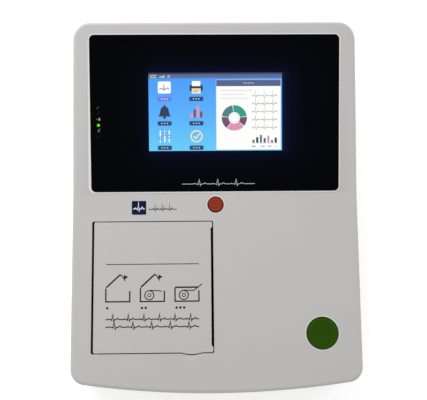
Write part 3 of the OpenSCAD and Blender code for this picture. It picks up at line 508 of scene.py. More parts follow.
def trace(x0, x1, y, height, beats):
    """A row of heartbeats."""
    width = (x1 - x0) / beats
    points = [p for i in range(beats) for p in beat(x0 + width * i, width, y, height)]
    return points + [(x1, y)]


def bridge(mesh, a, b):
    """Faces between two rings of as many corners."""
    n = len(a)
    return [mesh.faces.new((a[i], a[(i + 1) % n], b[(i + 1) % n], b[i])) for i in range(n)]


def to_object(name, mesh, *looks):
    """An object with this mesh and these materials."""
    data = bpy.data.meshes.new(name)
    mesh.to_mesh(data)
    mesh.free()
    for look in looks:
        data.materials.append(look)
    thing = bpy.data.objects.new(name, data)
    bpy.context.scene.collection.objects.link(thing)
    return thing


class Print:
    """Thin closed slabs on a plane, gathered into one piece."""

    def __init__(self, name, plane, look, slot, body="root", top=0.04, low=-0.03):
        self.name, self.plane, self.look, self.slot, self.body = name, plane, look, slot, body
        self.top, self.low = top, low
        self.mesh = bmesh.new()

    def ring_of(self, outline, h):
        """Corners of an outline at a height over the plane."""
        return [self.mesh.verts.new(self.plane.at(u, v, h)) for u, v in outline]

    def slab(self, outline):
        """A closed plate with this outline."""
        a, b = self.ring_of(outline, self.low), self.ring_of(outline, self.top)
        self.mesh.faces.new(a)
        self.mesh.faces.new(b)
        bridge(self.mesh, a, b)
        return self

    def band(self, outer, inner):
        """A closed frame between two outlines."""
        rings = [self.ring_of(p, h) for p, h in
                 ((outer, self.low), (outer, self.top), (inner, self.top), (inner, self.low))]
        for k in range(4):
            bridge(self.mesh, rings[k], rings[(k + 1) % 4])
        return self

    def line(self, points, width, closed=False):
        """A stroke of even width with mitred corners."""
        left, right = [], []
        n = len(points)
        for i, (x, y) in enumerate(points):
            a = points[(i - 1) % n] if closed or i else None
            b = points[(i + 1) % n] if closed or i < n - 1 else None
            steps = [Vector((q[0] - p[0], q[1] - p[1])).normalized()
                     for p, q in ((a, (x, y)), ((x, y), b)) if p and q]
            normal = [Vector((-d.y, d.x)) for d in steps]
            mid = sum(normal, Vector((0, 0)))
            mid = mid.normalized() if mid.length > 1e-6 else normal[0]
            # a sharp corner's mitre is kept short
            reach = width / 2 / max(0.35, mid.dot(normal[0]))
            left.append((x + mid.x * reach, y + mid.y * reach))
            right.append((x - mid.x * reach, y - mid.y * reach))
        if closed:
            return self.band(left, right)
        for i in range(n - 1):
            self.slab([left[i], left[i + 1], right[i + 1], right[i]])
        return self

    def screw(self, u, v, r, low, high):
        """A round head with a cross recess."""
        n, arm, half, edge = 48, 0.62 * r, 0.17 * r, 0.12 * r
        cross = []
        for k in range(n):
            turn = 2 * math.pi * k / n
            # angle from the nearest arm
            off = abs((turn + math.pi / 4) % (math.pi / 2) - math.pi / 4)
            reach = arm / math.cos(off) if arm * math.tan(off) <= half else half / math.sin(off)
            cross.append((u + reach * math.cos(turn), v + reach * math.sin(turn)))
        rim, floor_h = disc(u, v, r, n), low + 0.45 * (high - low)
        rings = [self.ring_of(p, h) for p, h in
                 ((rim, low), (rim, high - edge), (disc(u, v, r - edge, n), high),
                  (cross, high), (cross, floor_h))]
        for a, b in zip(rings, rings[1:]):
            bridge(self.mesh, a, b)
        self.mesh.faces.new(rings[0])
        self.mesh.faces.new(rings[-1])
        return self

    def done(self):
        """Makes the piece and says what it rides on."""
        bmesh.ops.recalc_face_normals(self.mesh, faces=self.mesh.faces)
        piece = to_object(self.name, self.mesh, self.look)
        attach(piece, self.body)


# ---------------------------------------------------------------- the picture on the screen
LCD_LEFT, LCD_RIGHT, LCD_LOW, LCD_TOP = -53.3, 54.1, 35.1, 97.7
BAR_LOW, BAR_TOP, STATUS_T = 93.2, 96.4, 94.8  # the bar along the top and the marks in it


def sky_material():
    """The picture's blue ground, lighter towards its foot."""
    s = Shader("screen_blue")
    low, high = SCREEN.at(0, LCD_LOW).y, SCREEN.at(0, LCD_TOP).y
    blue = s.ramp(s.scale(s.axes()["Y"], 0.0, 1.0, low, high),
                  [(0.0, srgb(108, 208, 252)), (0.45, srgb(94, 180, 254)),
                   (1.0, srgb(78, 156, 252))])
    s.link(dotted(s, blue), s.bsdf.inputs["Emission Color"])
    s.set(Base_Color=srgb(2, 2, 3), Roughness=0.12, Emission_Strength=1.0)
    return s.material


sky = sky_material()
ui_white = lit("screen_white", (254, 254, 252))
ui_bar = lit("screen_bar", (98, 116, 158))
ui_shade = lit("screen_shade", (60, 68, 98))
ui_pill = lit("screen_pill", (52, 78, 124))
ui_slate = lit("screen_slate", (60, 66, 92))
ui_head = lit("screen_head", (88, 104, 144))
ui_cream = lit("screen_cream", (250, 232, 190))
ui_violet = lit("screen_violet", (110, 128, 232))
ui_green = lit("screen_green", (58, 160, 138))
ui_pink = lit("screen_pink", (222, 150, 178))
ui_plum = lit("screen_plum", (116, 86, 112))
ui_teal = lit("screen_teal", (84, 132, 140))
ui_grey = lit("screen_grey", (206, 210, 216))

LAYER_STEP = 0.012
layers = {}


def ui(look, level):
    """The slab layer of one colour at one height of the picture."""
    key = (look.name, level)
    if key not in layers:
        layers[key] = Print(f"{look.name}_{level}", SCREEN, look, "screen_lit",
                            top=0.03 + LAYER_STEP * level)
    return layers[key]


ui(sky, 0).slab(rect(LCD_LEFT, LCD_LOW, LCD_RIGHT, LCD_TOP))
ui(ui_shade, 1).slab(rect(LCD_LEFT, BAR_TOP, LCD_RIGHT, LCD_TOP))
ui(ui_bar, 1).slab(rect(LCD_LEFT, BAR_LOW, LCD_RIGHT, BAR_TOP))
ui(ui_shade, 2).slab(rect(LCD_LEFT, 95.1, LCD_RIGHT, 95.4))
# status marks at the left end: charge, link and sound bars
ui(ui_cream, 2).band(rounded(-49.5, STATUS_T, 4.4, 2.2, 0.4),
                     rounded(-49.5, STATUS_T, 3.6, 1.4, 0.2))
ui(ui_green, 2).slab(rect(-51.0, 94.3, -48.8, 95.3))
for i in range(4):
    ui(ui_cream, 2).slab(rect(-44.6 + 1.1 * i, 93.8, -43.9 + 1.1 * i, 94.4 + 0.45 * i))
ui(ui_cream, 2).band(disc(-37.0, STATUS_T, 1.0, 20), disc(-37.0, STATUS_T, 0.6, 20))


# two columns of picture keys with blank tags; each tile is drawn about its middle x, t
def tile_trace(x, t):
    """A heartbeat on a card."""
    ui(ui_white, 2).slab(rounded(x, t, 10.4, 9.6, 1.3))
    ui(ui_slate, 3).line(trace(x - 4.2, x + 4.2, t - 1.2, 3.8, 1), 0.55)


def tile_sheet(x, t):
    """A printer with its sheet."""
    ui(ui_slate, 2).slab(rounded(x, t - 0.6, 10.6, 5.2, 0.9))
    ui(ui_white, 3).slab(rect(x - 3.4, t + 1.0, x + 3.4, t + 5.0))
    ui(ui_cream, 3).slab(rect(x - 3.6, t - 5.0, x + 3.6, t - 0.9))
    for i in range(2):
        ui(ui_plum, 4).slab(rect(x - 2.6, t - 2.5 - 1.3 * i, x + 2.6 - 1.4 * i, t - 2.1 - 1.3 * i))


def tile_bell(x, t):
    """A bell."""
    bell = [(x - 4.2, t - 2.6)] + arc(x, t + 1.2, 3.3, 180, 0, 14) + [(x + 4.2, t - 2.6)]
    ui(ui_slate, 2).slab(bell)
    ui(ui_slate, 2).slab(rounded(x, t - 3.1, 9.8, 1.1, 0.5))
    ui(ui_slate, 2).slab(disc(x, t + 4.9, 0.8, 16))
    ui(ui_slate, 2).slab(disc(x, t - 4.5, 1.1, 18))


def tile_bars(x, t):
    """Four bars."""
    for i, (h, look) in enumerate(((3.6, ui_pink), (6.6, ui_plum), (9.4, ui_pink), (5.0, ui_plum))):
        ui(look, 2).slab(rect(x - 4.9 + 2.6 * i, t - 4.7, x - 2.9 + 2.6 * i, t - 4.7 + h))


def tile_sliders(x, t):
    """Three sliders."""
    for i, off in enumerate((-1.6, 1.8, -0.2)):
        u = x - 3.6 + 3.6 * i
        ui(ui_white, 2).slab(rounded(u, t, 0.9, 9.6, 0.4))
        ui(ui_violet, 3).slab(disc(u, t + off, 1.5, 24))
        ui(ui_white, 4).slab(disc(u, t + off, 0.7, 16))


def tile_tick(x, t):
    """A tick in a ring."""
    ui(ui_cream, 2).band(disc(x, t, 4.9, 44), disc(x, t, 3.9, 44))
    ui(ui_cream, 3).line([(x - 2.2, t + 0.1), (x - 0.6, t - 1.7), (x + 2.3, t + 1.9)], 1.0)


KEY_COLUMNS, KEY_ROWS, TAG_DROP = (-40.6, -15.0), (86.0, 66.4, 46.8), 9.2
KEYS = ((tile_trace, tile_sheet), (tile_bell, tile_bars), (tile_sliders, tile_tick))
for row, (t, pair) in enumerate(zip(KEY_ROWS, KEYS)):
    for column, (x, tile) in enumerate(zip(KEY_COLUMNS, pair)):
        tile(x, t)
        first = row == 0 and column == 0
        tag, dots = (ui_violet, ui_cream) if first else (ui_pill, ui_grey)
        ui(tag, 2).slab(rounded(x, t - TAG_DROP, 11.4, 3.5, 1.0))
        for i in range(3):
            ui(dots, 3).slab(disc(x - 2.2 + 2.2 * i, t - TAG_DROP, 0.55, 14))

# report panel: a dial, traces and a row of levels
PANEL_LEFT, PANEL_LOW, PANEL_RIGHT, PANEL_TOP, PANEL_RIM = 1.2, 36.0, 53.0, 91.8, 0.3
ui(ui_grey, 1).slab(rect(PANEL_LEFT - PANEL_RIM, PANEL_LOW - PANEL_RIM,
                         PANEL_RIGHT + PANEL_RIM, PANEL_TOP + PANEL_RIM))
ui(ui_white, 2).slab(rect(PANEL_LEFT, PANEL_LOW, PANEL_RIGHT, PANEL_TOP))
ui(ui_head, 3).slab(rect(PANEL_LEFT, 86.8, PANEL_RIGHT, PANEL_TOP))
for i in range(5):
    ui(ui_grey, 4).slab(disc(23.5 + 1.8 * i, 89.3, 0.5, 14))
for i, end in enumerate((30.0, 24.0, 27.0)):
    ui(ui_grey, 3).slab(rect(4.6, 83.2 - 3.1 * i, end, 83.7 - 3.1 * i))


DIAL, DIAL_IN, DIAL_OUT = (15.6, 61.4), 4.6, 10.2


def wedge(look, a0, a1):
    """A piece of the dial's ring, from one angle to another."""
    n = max(4, int(abs(a1 - a0) / 5))
    outer, inner = arc(*DIAL, DIAL_OUT, a0, a1, n), arc(*DIAL, DIAL_IN, a0, a1, n)
    for i in range(n):
        ui(look, 3).slab([outer[i], outer[i + 1], inner[i + 1], inner[i]])


for look, a0, a1 in ((ui_green, 8, 96), (ui_teal, 99, 172), (ui_plum, 175, 232),
                     (ui_pink, 235, 318), (ui_plum, 321, 365)):
    wedge(look, a0, a1)
ui(ui_grey, 3).band(disc(*DIAL, 3.6, 36), disc(*DIAL, 3.2, 36))
for i, look in enumerate((ui_teal, ui_slate, ui_teal, ui_plum, ui_teal)):
    ui(look, 3).line(trace(29.6, 50.6, 79.0 - 6.4 * i, 4.6 if i != 3 else 3.4, 3), 0.34)
for i, (h, look) in enumerate(((2.6, ui_teal), (4.6, ui_slate), (6.4, ui_teal), (3.8, ui_plum),
                               (5.6, ui_pink), (2.2, ui_teal), (4.2, ui_slate))):
    ui(look, 3).slab(rect(30.2 + 3.0 * i, 41.2, 32.0 + 3.0 * i, 41.2 + h))
ui(ui_grey, 3).slab(rect(29.4, 40.6, 51.2, 40.9))
for x, look in ((29.6, ui_slate), (37.0, ui_teal), (42.4, ui_teal), (47.6, ui_grey)):
    ui(look, 3).slab(rect(x, 38.2, x + 3.2, 38.8))
for layer in layers.values():
    layer.done()
nodes["lcd_glass"].data.materials.clear()
nodes["lcd_glass"].data.materials.append(sky)

# ---------------------------------------------------------------- prints on the black panel
mark_dim = moulded("mark_dim", srgb(96, 98, 102), 0.4, 0.3, 0.004, 0.03)
mark_pale = moulded("mark_pale", srgb(188, 190, 194), 0.4, 0.3, 0.004, 0.03)
green_light = lit("light_green", (34, 226, 8), base=(10, 40, 8), rough=0.2)
green_core = lit("light_core", (186, 232, 18), base=(30, 40, 8), rough=0.2)
light_off = moulded("light_off", srgb(11, 11, 13), 0.2, 0.3, 0.004, 0.05)

LIGHT_X, LIGHT_T, LIGHT_PITCH = -93.9, 56.0, 9.2
glow = Print("light_lit", SCREEN, green_light, "lamp", top=0.05)
glow.slab(disc(LIGHT_X, LIGHT_T, 1.22, 32)).done()
core = Print("light_lit_core", SCREEN, green_core, "lamp", top=0.06)
core.slab(disc(LIGHT_X + 0.45, LIGHT_T, 0.55, 24)).done()
dark = Print("lights_off", SCREEN, light_off, "lamp", top=0.05)
for t in (LIGHT_T - LIGHT_PITCH, LIGHT_T + LIGHT_PITCH):
    dark.slab(disc(LIGHT_X, t, 1.5, 32))
dark.done()
# a cell, a plug and a charge mark beside the three lights
bright = Print("light_marks", SCREEN, mark_pale, "white_plastic", top=0.05)
x, t = LIGHT_X + 0.9, 60.8
bright.slab(rounded(x, t, 0.95, 2.1, 0.2))
bright.slab(disc(x - 0.5, 51.9, 0.42, 16))
bright.done()
faint = Print("light_marks_dim", SCREEN, mark_dim, "white_plastic", top=0.05)
faint.slab(rect(x - 2.6, t - 0.4, x - 1.2, t + 0.2))
t = 51.8
faint.line([(x - 1.6, t - 1.5), (x - 0.5, t + 0.3), (x + 0.5, t + 1.7)], 0.5)
faint.line([(x - 1.6, t + 0.6), (x - 0.5, t - 0.2), (x - 0.1, t - 1.5)], 0.45)
t = 70.0
faint.line([(x - 2.2, t - 0.8), (x - 1.1, t + 0.2), (x - 0.2, t + 0.6)], 0.3)
faint.done()
# a plain pulse line under the picture
pulse = Print("panel_pulse_line", SCREEN, mark_pale, "white_plastic", top=0.05)
pulse.line([(-27.0, 8.2)] + trace(-20.0, 25.0, 8.2, 3.8, 3) + [(32.0, 8.2)], 0.5)
pulse.done()

# ---------------------------------------------------------------- painted highlight bands round the pane and the keys
edge = Print("panel_edge", SCREEN, highlight_trim, "housing_light", top=0.16, low=-0.9)
# the painted highlight band widens towards its lower left corner
outer = [(u - 1.2 * max(0, 127 - v) / 124 if u < 0 else u, v)
         for u, v in rounded(0, 65, 202.6, 127.8, 4.9, 10)]
inner = rounded(0, 65, 200.9, 126.1, 3.9, 10)
edge.band(outer, inner).done()
# painted highlight rings round the two keys
for name, (x, y, r), gap in (("power_ring", POWER_KEY, 0.27), ("print_ring", PRINT_KEY, 0.32)):
    ring = Print(name, DECK, highlight_trim, "housing_light", top=0.14, low=-0.8)
    ring.band(disc(x, y - FOLD_Y, r + gap + 0.73, 96), disc(x, y - FOLD_Y, r + gap, 96)).done()

# ---------------------------------------------------------------- prints on the deck and the door
badge_blue = moulded("badge_blue", srgb(8, 22, 64), 0.32, 0.3, 0.004, 0.03,
                     Specular_IOR_Level=0.2)
badge_white = moulded("badge_white", srgb(222, 224, 228), 0.35, 0.3, 0.004, 0.02)
ink = moulded("ink", srgb(22, 21, 21), 0.55, 0.3, 0.004, 0.05, Specular_IOR_Level=0.25)
badge = Print("badge_plate", DECK, badge_blue, "cell_wrap", top=0.12)
badge.slab(rounded(-61.9, -10.9, 11.6, 11.2, 1.0)).done()
mark = Print("badge_mark", DECK, badge_white, "white_plastic", top=0.16)
mark.line(trace(-66.6, -57.2, -11.8, 5.6, 1), 0.8)
mark.done()
tail = Print("badge_rule", DECK, ink, "black_plastic", top=0.05)
tail.line([(-54.2, -12.2)] + trace(-51.6, -34.0, -12.2, 4.6, 3) + [(-31.4, -12.2)], 0.6)
tail.done()

# paper loading in three steps: open the lid, lay the roll in, close the lid over the strip
door_ink = Print("door_steps", DECK, ink, "black_plastic", body="door", top=0.05)
y = -82.0
for step, x in enumerate((-88.0, -60.5, -33.0)):
    tray = [(x, y + 6.5), (x, y - 4), (x + 19, y - 4), (x + 19, y + 4.5)]
    door_ink.line(tray, 1.05)
    if step < 2:
        door_ink.line([(x + 0.3, y + 7.2), (x + 11.5, y + 17.5)], 1.2)
        door_ink.slab([(x + 14.2, y + 17.2), (x + 17.8, y + 15.6), (x + 14.4, y + 13.4)])
        door_ink.line(arc(x + 2, y + 6.5, 14.5, 50, 24, 8), 0.8)
    else:
        door_ink.line([(x, y + 7.0), (x + 18.0, y + 7.0)], 1.2)
    if step:
        door_ink.band(disc(x + 7.0, y + 0.9, 4.0, 36), disc(x + 7.0, y + 0.9, 3.2, 36))
        door_ink.band(disc(x + 7.0, y + 0.9, 1.6, 24), disc(x + 7.0, y + 0.9, 1.0, 24))
        end = (x + 21.6, y + 9.6) if step == 2 else (x + 17.0, y + 4.0)
        door_ink.line([(x + 7.0, y + 4.7), (x + 15.0, y + 4.4), end], 0.75)
    for dot in range(step + 1):
        door_ink.slab(disc(x + 1.2 + 3.0 * dot, y - 9.0, 0.95, 20))
# the side of the strip that the head prints on
for k, y in enumerate((-100.0, -106.0)):
    door_ink.line(trace(-88.0, -14.0, y, 4.2, 6 - k), 0.8)
door_ink.line([(-88.0, -56.4), (-14.0, -56.4)], 0.6)
door_ink.done()

# ---------------------------------------------------------------- the paper strip
PLATEN, HEAD_ANGLE = Vector((-12.5, 42.0)), math.radians(-20)
WRAP, WRAP_STEP = 6.15, 15  # the strip round the platen: radius in mm, corner spacing in degrees


def around(angle, r, along=0.0):
    """A point round the platen's axis, moved along the tangent."""
    return tuple(PLATEN + Vector((r * math.cos(angle) - along * math.sin(angle),
                                  r * math.sin(angle) + along * math.cos(angle))))


def softened(points, rounds=2):
    """The same line with its corners cut back, so that it bends evenly."""
    for _ in range(rounds):
        cut = [points[0]]
        for a, b in zip(points, points[1:]):
            a, b = Vector(a), Vector(b)
            cut += [a.lerp(b, 0.25), a.lerp(b, 0.75)]
        points = cut + [points[-1]]
    return [Vector(q) for q in points]


STRIP_HALF, STRIP_T = 39.5, 0.15
off_roll = arc(*ROLL, ROLL_R + STRIP_T, -112, -96, 2)
strip_line = softened(
    off_roll + [(-67.5, 8.9), (-62, 10.9), (-57, 14), (-53, 18.8), (-45, 30.5), (-40.5, 35.2),
                (-37.5, 36), (-30, 36.3), (-20, 35.4)]
    + [around(math.radians(a), WRAP / math.cos(math.radians(WRAP_STEP / 2)))
       for a in range(-95, -19, WRAP_STEP)]
    + [around(HEAD_ANGLE, WRAP, along) for along in (3, 5.3)] + [(-4.05, 47)])
strip_mesh = bmesh.new()
run_layer = strip_mesh.verts.layers.float.new("run")
sections, run = [], 0.0
for i, q in enumerate(strip_line):
    a, b = strip_line[max(0, i - 1)], strip_line[min(len(strip_line) - 1, i + 1)]
    d = (b - a).normalized()
    run += (q - strip_line[i - 1]).length if i else 0.0
    ring = []
    for y, drop in ((-STRIP_HALF, 0), (STRIP_HALF, 0),
                    (STRIP_HALF, STRIP_T), (-STRIP_HALF, STRIP_T)):
        v = strip_mesh.verts.new(Vector((q.x + d.y * drop, MID_Y + y, q.y - d.x * drop)) * MM)
        v[run_layer] = run * MM
        ring.append(v)
    sections.append(ring)
for a, b in zip(sections, sections[1:]):
    for k, face in enumerate(bridge(strip_mesh, a, b)):
        face.material_index = 1 if k == 0 else 0
        face.smooth = k in (0, 2)
for ring in (sections[0], sections[-1]):
    strip_mesh.faces.new(ring)
bmesh.ops.recalc_face_normals(strip_mesh, faces=strip_mesh.faces)
strip = to_object("paper_strip", strip_mesh, paper_face, paper_back)
strip.data.set_sharp_from_angle(angle=math.radians(40))
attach(strip, "root")
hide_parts("paper_web")

# the head's heating line and its leads, under the platen
turned = Vector((math.cos(HEAD_ANGLE), 0, math.sin(HEAD_ANGLE)))
HEAD_FACE = 6.5  # from the platen's axis to the head
HEAD = Plane(Vector((PLATEN.x, MID_Y, PLATEN.y)) + HEAD_FACE * turned,
             (0, -1, 0), (-turned.z, 0, turned.x))
heater_look = moulded("heater", srgb(58, 34, 26), 0.2, 0.3, 0.002, 0.05)
heater = Print("heater_line", HEAD, heater_look, "ceramic", body="head", top=0.03)
heater.slab(rect(-40, -0.35, 40, 0.35)).done()
leads = Print("heater_leads", HEAD, gold, "brass", body="head", top=0.02)
for i in range(100):
    leads.slab(rect(-39.6 + 0.8 * i, -5.8, -39.2 + 0.8 * i, -0.6))
leads.done()


# ---------------------------------------------------------------- springs
SPRING_STEPS, SPRING_SIDES = 24, 8  # steps in a turn, sides of the wire


def spring(name, node, turns, wire, towards):
    """Round wire wound in the node's own box, from a fixed end.

    Sizes are in mm. An upright coil stands alone. Along X there are two, at the box's two ends.
    """
    low, high = (Vector(c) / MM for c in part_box(node))
    upright = bool(towards.z)
    along, across = (2, (0, 1)) if upright else (0, (1, 2))
    size, middle = high - low, (low + high) / 2
    length, outside = size[along], (size.x if upright else size.z) / 2
    middles = [middle] if upright else [Vector((middle.x, y, middle.z))
                                        for y in (high.y - outside, low.y + outside)]
    mesh = bmesh.new()
    for middle in middles:
        rings = []
        for i in range(turns * SPRING_STEPS + 1):
            turn = 2 * math.pi * i / SPRING_STEPS
            # the two end turns lie flat
            share = min(1.0, max(0.0, (i / SPRING_STEPS - 0.75) / (turns - 1.5)))
            rise = wire + share * (length - 2 * wire)
            ring = []
            for k in range(SPRING_SIDES):
                b = 2 * math.pi * k / SPRING_SIDES
                r, h = outside - wire + wire * math.cos(b), rise + wire * math.sin(b)
                q = Vector(middle)
                q[across[0]] += r * math.cos(turn)
                q[across[1]] += r * math.sin(turn)
                q[along] = low[along] + h if towards[along] < 0 else high[along] - h
                ring.append(mesh.verts.new(q * MM))
            rings.append(ring)
        for a, b in zip(rings, rings[1:]):
            bridge(mesh, a, b)
        mesh.faces.new(rings[0])
        mesh.faces.new(rings[-1])
    bmesh.ops.recalc_face_normals(mesh, faces=mesh.faces)
    for face in mesh.faces:
        face.smooth = len(face.verts) == 4
    piece = to_object(name, mesh, steel)
    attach(piece, "root")
    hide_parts(node)
    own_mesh(piece)


spring("power_coil", "power_spring", 6, 0.25, Vector((0, 0, -1)))
spring("print_coil", "print_spring", 6, 0.3, Vector((0, 0, -1)))
spring("head_coils", "head_springs", 4, 0.3, Vector((1, 0, 0)))

# ---------------------------------------------------------------- inside the rear sockets
SOCKET_Z, BOARD_TOP, LAN_X, USB_X = 28.2, 21.6, -8.0, 9.5
PIN_PITCH, ROW_PITCH, LAN_PITCH = 2.76, 2.84, 1.02
inserts = Print("socket_inserts", REAR, black_plastic, "black_plastic", top=5.7, low=5.3)
rings = Print("socket_contacts", REAR, gold, "brass", top=5.76, low=5.6)
for x, w, columns in ((36.5, 13.6, 5), (74.0, 21.9, 8)):
    inserts.slab([(-x - w / 2, SOCKET_Z + 2.5), (-x + w / 2, SOCKET_Z + 2.5),
                  (-x + w / 2 - 1.6, SOCKET_Z - 2.5), (-x - w / 2 + 1.6, SOCKET_Z - 2.5)])
    for row in range(2):
        for i in range(columns - row):
            u = -x + (i - (columns - 1 - row) / 2) * PIN_PITCH
            v = SOCKET_Z + (0.5 - row) * ROW_PITCH
            rings.band(disc(u, v, 0.85, 24), disc(u, v, 0.52, 24))
inserts.done()
rings.done()
pins = Print("lan_contacts", REAR, gold, "brass", top=0.23, low=-0.23)
for i in range(8):
    pins.plane = Plane((LAN_X + LAN_PITCH * (i - 3.5), 0, 0), (0, 1, 0), (0, 0, 1))
    pins.slab([(137.6, 31.2), (137.4, 30.7), (128.2, 27.3), (126.4, 27.0),
               (126.4, 27.4), (128.0, 27.8)])
pins.done()
for name, side, colour in (("lan_light_link", 1, (70, 120, 62)),
                           ("lan_light_busy", -1, (170, 128, 44))):
    look = moulded(name, srgb(*colour), 0.2, 0.3, 0.004, 0.08)
    pane = Print(name, REAR, look, "lamp", top=0.12)
    pane.slab(rounded(-LAN_X + 5.3 * side, 33.2, 2.9, 1.8, 0.4)).done()
tongue = Print("usb_tongue", REAR, white_plastic, "white_plastic", top=-1.35, low=-12.55)
tongue.slab(rounded(-USB_X, BOARD_TOP + 4.25, 11.46, 2.16, 0.35)).done()
blades = Print("usb_contacts", REAR, gold, "brass", top=-2.0, low=-9.0)
for u in (-3.5, -1.0, 1.0, 3.5):
    blades.slab(rect(-USB_X + u - 0.5, BOARD_TOP + 3.0, -USB_X + u + 0.5, BOARD_TOP + 3.3))
blades.done()
ears = Print("inlet_screws", REAR, zinc, "zinc")
for u in (48.0, 88.0):
    ears.screw(u, 34.5, 2.5, 1.7, 2.9)
ears.done()

# on and off marks on the rocker's two faces, which meet at a shallow angle and sit tipped to "off"
ROCKER_TILT, ROCKER_PIN, ROCKER_Z = math.radians(7), (-31.0, 134.5), 41.0


def rocker_face(*ends):
    """Plane on the rocker's face between two points of its outline, seen from behind."""
    c, s = math.cos(ROCKER_TILT), math.sin(ROCKER_TILT)
    a, b = (Vector((x * c - y * s, x * s + y * c)) + Vector(ROCKER_PIN) for x, y in ends)
    mid, along = (a + b) / 2, b - a
    return Plane((mid.x, mid.y, ROCKER_Z), (along.x, along.y, 0), (0, 0, 1))


on_off = Print("rocker_marks", rocker_face((0, 5), (-7, 6.2)), white_plastic, "white_plastic",
               body="rocker", top=0.06)
on_off.slab(rounded(0.2, 0, 0.55, 3.6, 0.2))
on_off.plane = rocker_face((7, 6.2), (0, 5))
on_off.band(disc(-0.2, 0, 1.7, 36), disc(-0.2, 0, 1.2, 36)).done()

# plain signs over the sockets, named by what they stand for
signs = Print("rear_signs", REAR, mark_dim, "black_plastic", top=0.05)
v = 41.5
# patient lead: a trace in a frame
signs.line(rounded(-74, v, 13, 8, 1.2), 0.45, closed=True)
signs.line(trace(-79.4, -68.6, v - 1, 3.6, 2), 0.4)
# serial line: an arrow each way
for way in (-1, 1):
    u, h = -36.5, v + 1.3 * way
    signs.line([(u - 4.5 * way, h), (u + 3.2 * way, h)], 0.5)
    signs.slab([(u + 4.8 * way, h), (u + 2.6 * way, v + 2.5 * way), (u + 2.6 * way, v + 0.1 * way)])
# memory stick
signs.line(rounded(-9.5, v - 0.6, 4.4, 5.4, 0.5), 0.45, closed=True)
signs.line(rect(-11.0, v + 2.1, -8.0, v + 4.0), 0.4, closed=True)
# network: three joined boxes
for u, h in ((5.2, v - 2.2), (10.8, v - 2.2), (8.0, v + 2.4)):
    signs.line(rect(u - 1.3, h - 1.0, u + 1.3, h + 1.0), 0.4, closed=True)
signs.line([(8.0, v + 1.4), (8.0, v + 0.2)], 0.4)
signs.line([(5.2, v - 1.2), (5.2, v + 0.2), (10.8, v + 0.2), (10.8, v - 1.2)], 0.4)
# earth, mains and the switch
for i, w in enumerate((4.4, 2.9, 1.4)):
    signs.line([(39.4 - w / 2, 21.2 - 1.1 * i), (39.4 + w / 2, 21.2 - 1.1 * i)], 0.45)
signs.line([(39.4, 24.2), (39.4, 21.2)], 0.45)
wave = [(65 + 0.25 * i, 55.0 + 1.1 * math.sin(i * math.pi / 12)) for i in range(25)]
signs.line(wave, 0.45)
signs.line(arc(31, 53.2, 2.0, 125, 415, 24), 0.45).line([(31, 53.6), (31, 55.8)], 0.45)
signs.done()

# ---------------------------------------------------------------- underside
label = moulded("label", srgb(206, 207, 208), 0.35, 0.4, 0.003, 0.01)
plate = Print("blank_plate", BASE, label, "white_plastic", top=0.15)
plate.slab(rounded(-40, 60, 66, 42, 2.0)).done()
ruled = Print("blank_plate_lines", BASE, mark_dim, "black_plastic", top=0.19)
ruled.line(rounded(-40, 60, 62, 38, 1.2), 0.35, closed=True)
for v in (54, 60, 66):
    ruled.line([(-70.5, v), (-9.5, v)], 0.25)
ruled.line([(-40, 41.5), (-40, 66)], 0.25)
# a cell and its two poles on the battery cover
ruled.line(rounded(60, 58, 22, 11, 1.0), 0.6, closed=True).slab(rounded(72.4, 58, 1.8, 5, 0.4))
ruled.line([(65, 58), (69, 58)], 0.6).line([(67, 56), (67, 60)], 0.6)
ruled.line([(51, 58), (55, 58)], 0.6)
ruled.done()
# screws: place, head radius, and the heights of the head's foot and top
under = Print("case_screw_heads", BASE, zinc, "zinc")
for x, y in ((-104, -126), (104, -126), (-108.3, 0), (108.3, 0), (-105, 130), (105, 130)):
    under.screw(x, -y, 2.62, -6.9, -6.3)
for y in (-110, -22):  # the battery cover's
    under.screw(60, -y, 2.12, 1.3, 1.75)
under.done()
HEAD_FOOT, HEAD_TOP = 3.35, 3.85  # above a board's underside
boards = Print("board_screw_heads", LEVEL, zinc, "zinc")
for x, y, z in ((-22, 22, 20), (94, 22, 20), (-22, 126, 20), (94, 126, 20),
                (-102, 20, 13), (-46, 20, 13), (-102, 104, 13), (-46, 104, 13)):
    boards.screw(x, y, 2.3, z + HEAD_FOOT, z + HEAD_TOP)
boards.done()


# ---------------------------------------------------------------- floor, light
FLOOR_LIFT = 0.42  # added to the lit floor where it is seen


def floor_material():
    """Pale ground that reads as white to the camera and in gloss, and still takes the shadow."""
    s = Shader("floor")
    rays = s.add("ShaderNodeLightPath").outputs
    seen = s.math("MAXIMUM", rays["Is Camera Ray"], rays["Is Glossy Ray"])
    seen = s.math("MAXIMUM", seen, rays["Is Transmission Ray"])
    s.link(s.math("MULTIPLY", seen, FLOOR_LIFT), s.bsdf.inputs["Emission Strength"])
    s.set(Base_Color=srgb(246, 246, 246), Roughness=0.9, Emission_Color=[1, 1, 1, 1],
          Specular_IOR_Level=0.1)
    return s.material


floor_mesh = bmesh.new()
bmesh.ops.create_grid(floor_mesh, x_segments=1, y_segments=1, size=4)
floor = to_object("floor", floor_mesh, floor_material())

WORLD_LEVEL = 0.62  # fill light on the object
WHITE = (1, 1, 1, 1)
world = bpy.data.worlds.new("world")
bpy.context.scene.world = world
world.use_nodes = True
tree = world.node_tree
tree.nodes.clear()


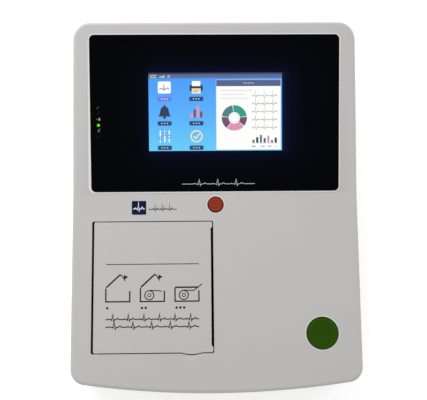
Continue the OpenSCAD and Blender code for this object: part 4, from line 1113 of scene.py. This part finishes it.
def mixed(share, first, second):
    """One background or the other, by a share of 0 or 1."""
    node = add_node(tree, "ShaderNodeMixShader")
    for socket, source in zip(node.inputs, (share, first, second)):
        tree.links.new(source, socket)
    return node.outputs["Shader"]


rays = add_node(tree, "ShaderNodeLightPath").outputs
# reflections see a white room with a dark opening straight overhead
split = add_node(tree, "ShaderNodeSeparateXYZ")
tree.links.new(add_node(tree, "ShaderNodeTexCoord").outputs["Generated"], split.inputs["Vector"])
opening = add_node(tree, "ShaderNodeMapRange", interpolation_type="SMOOTHSTEP")
for key, value in zip(("From Min", "From Max", "To Min", "To Max"), (0.78, 0.94, 1.0, 0.025)):
    opening.inputs[key].default_value = value
tree.links.new(split.outputs["Z"], opening.inputs["Value"])
plain = add_node(tree, "ShaderNodeBackground", Color=WHITE, Strength=WORLD_LEVEL)
mirrored = add_node(tree, "ShaderNodeBackground", Color=WHITE)
tree.links.new(opening.outputs["Result"], mirrored.inputs["Strength"])
# the camera sees plain white, also through glass
seen_white = add_node(tree, "ShaderNodeBackground", Color=WHITE, Strength=1.0)
seen = add_node(tree, "ShaderNodeMath", operation="MAXIMUM")
tree.links.new(rays["Is Camera Ray"], seen.inputs[0])
tree.links.new(rays["Is Transmission Ray"], seen.inputs[1])
lighting = mixed(rays["Is Glossy Ray"], plain.outputs["Background"], mirrored.outputs["Background"])
surface = mixed(seen.outputs["Value"], lighting, seen_white.outputs["Background"])
tree.links.new(surface, add_node(tree, "ShaderNodeOutputWorld").inputs["Surface"])


def lamp_at(name, place, power, size):
    """A soft round lamp that looks at the object; place and size in metres, power in watts."""
    data = bpy.data.lights.new(name, "AREA")
    data.energy = power
    data.shape = "DISK"
    data.size = size
    thing = bpy.data.objects.new(name, data)
    bpy.context.scene.collection.objects.link(thing)
    thing.location = place
    away = Vector((0, 0, 0.03)) - Vector(place)
    thing.rotation_euler = away.to_track_quat("-Z", "Y").to_euler()


lamp_at("key", (-0.42, 0.6, 0.6), 4.8, 0.8)
lamp_at("fill", (0.8, 0.45, 0.32), 1.4, 0.6)

bpy.context.scene.view_settings.view_transform = "Standard"
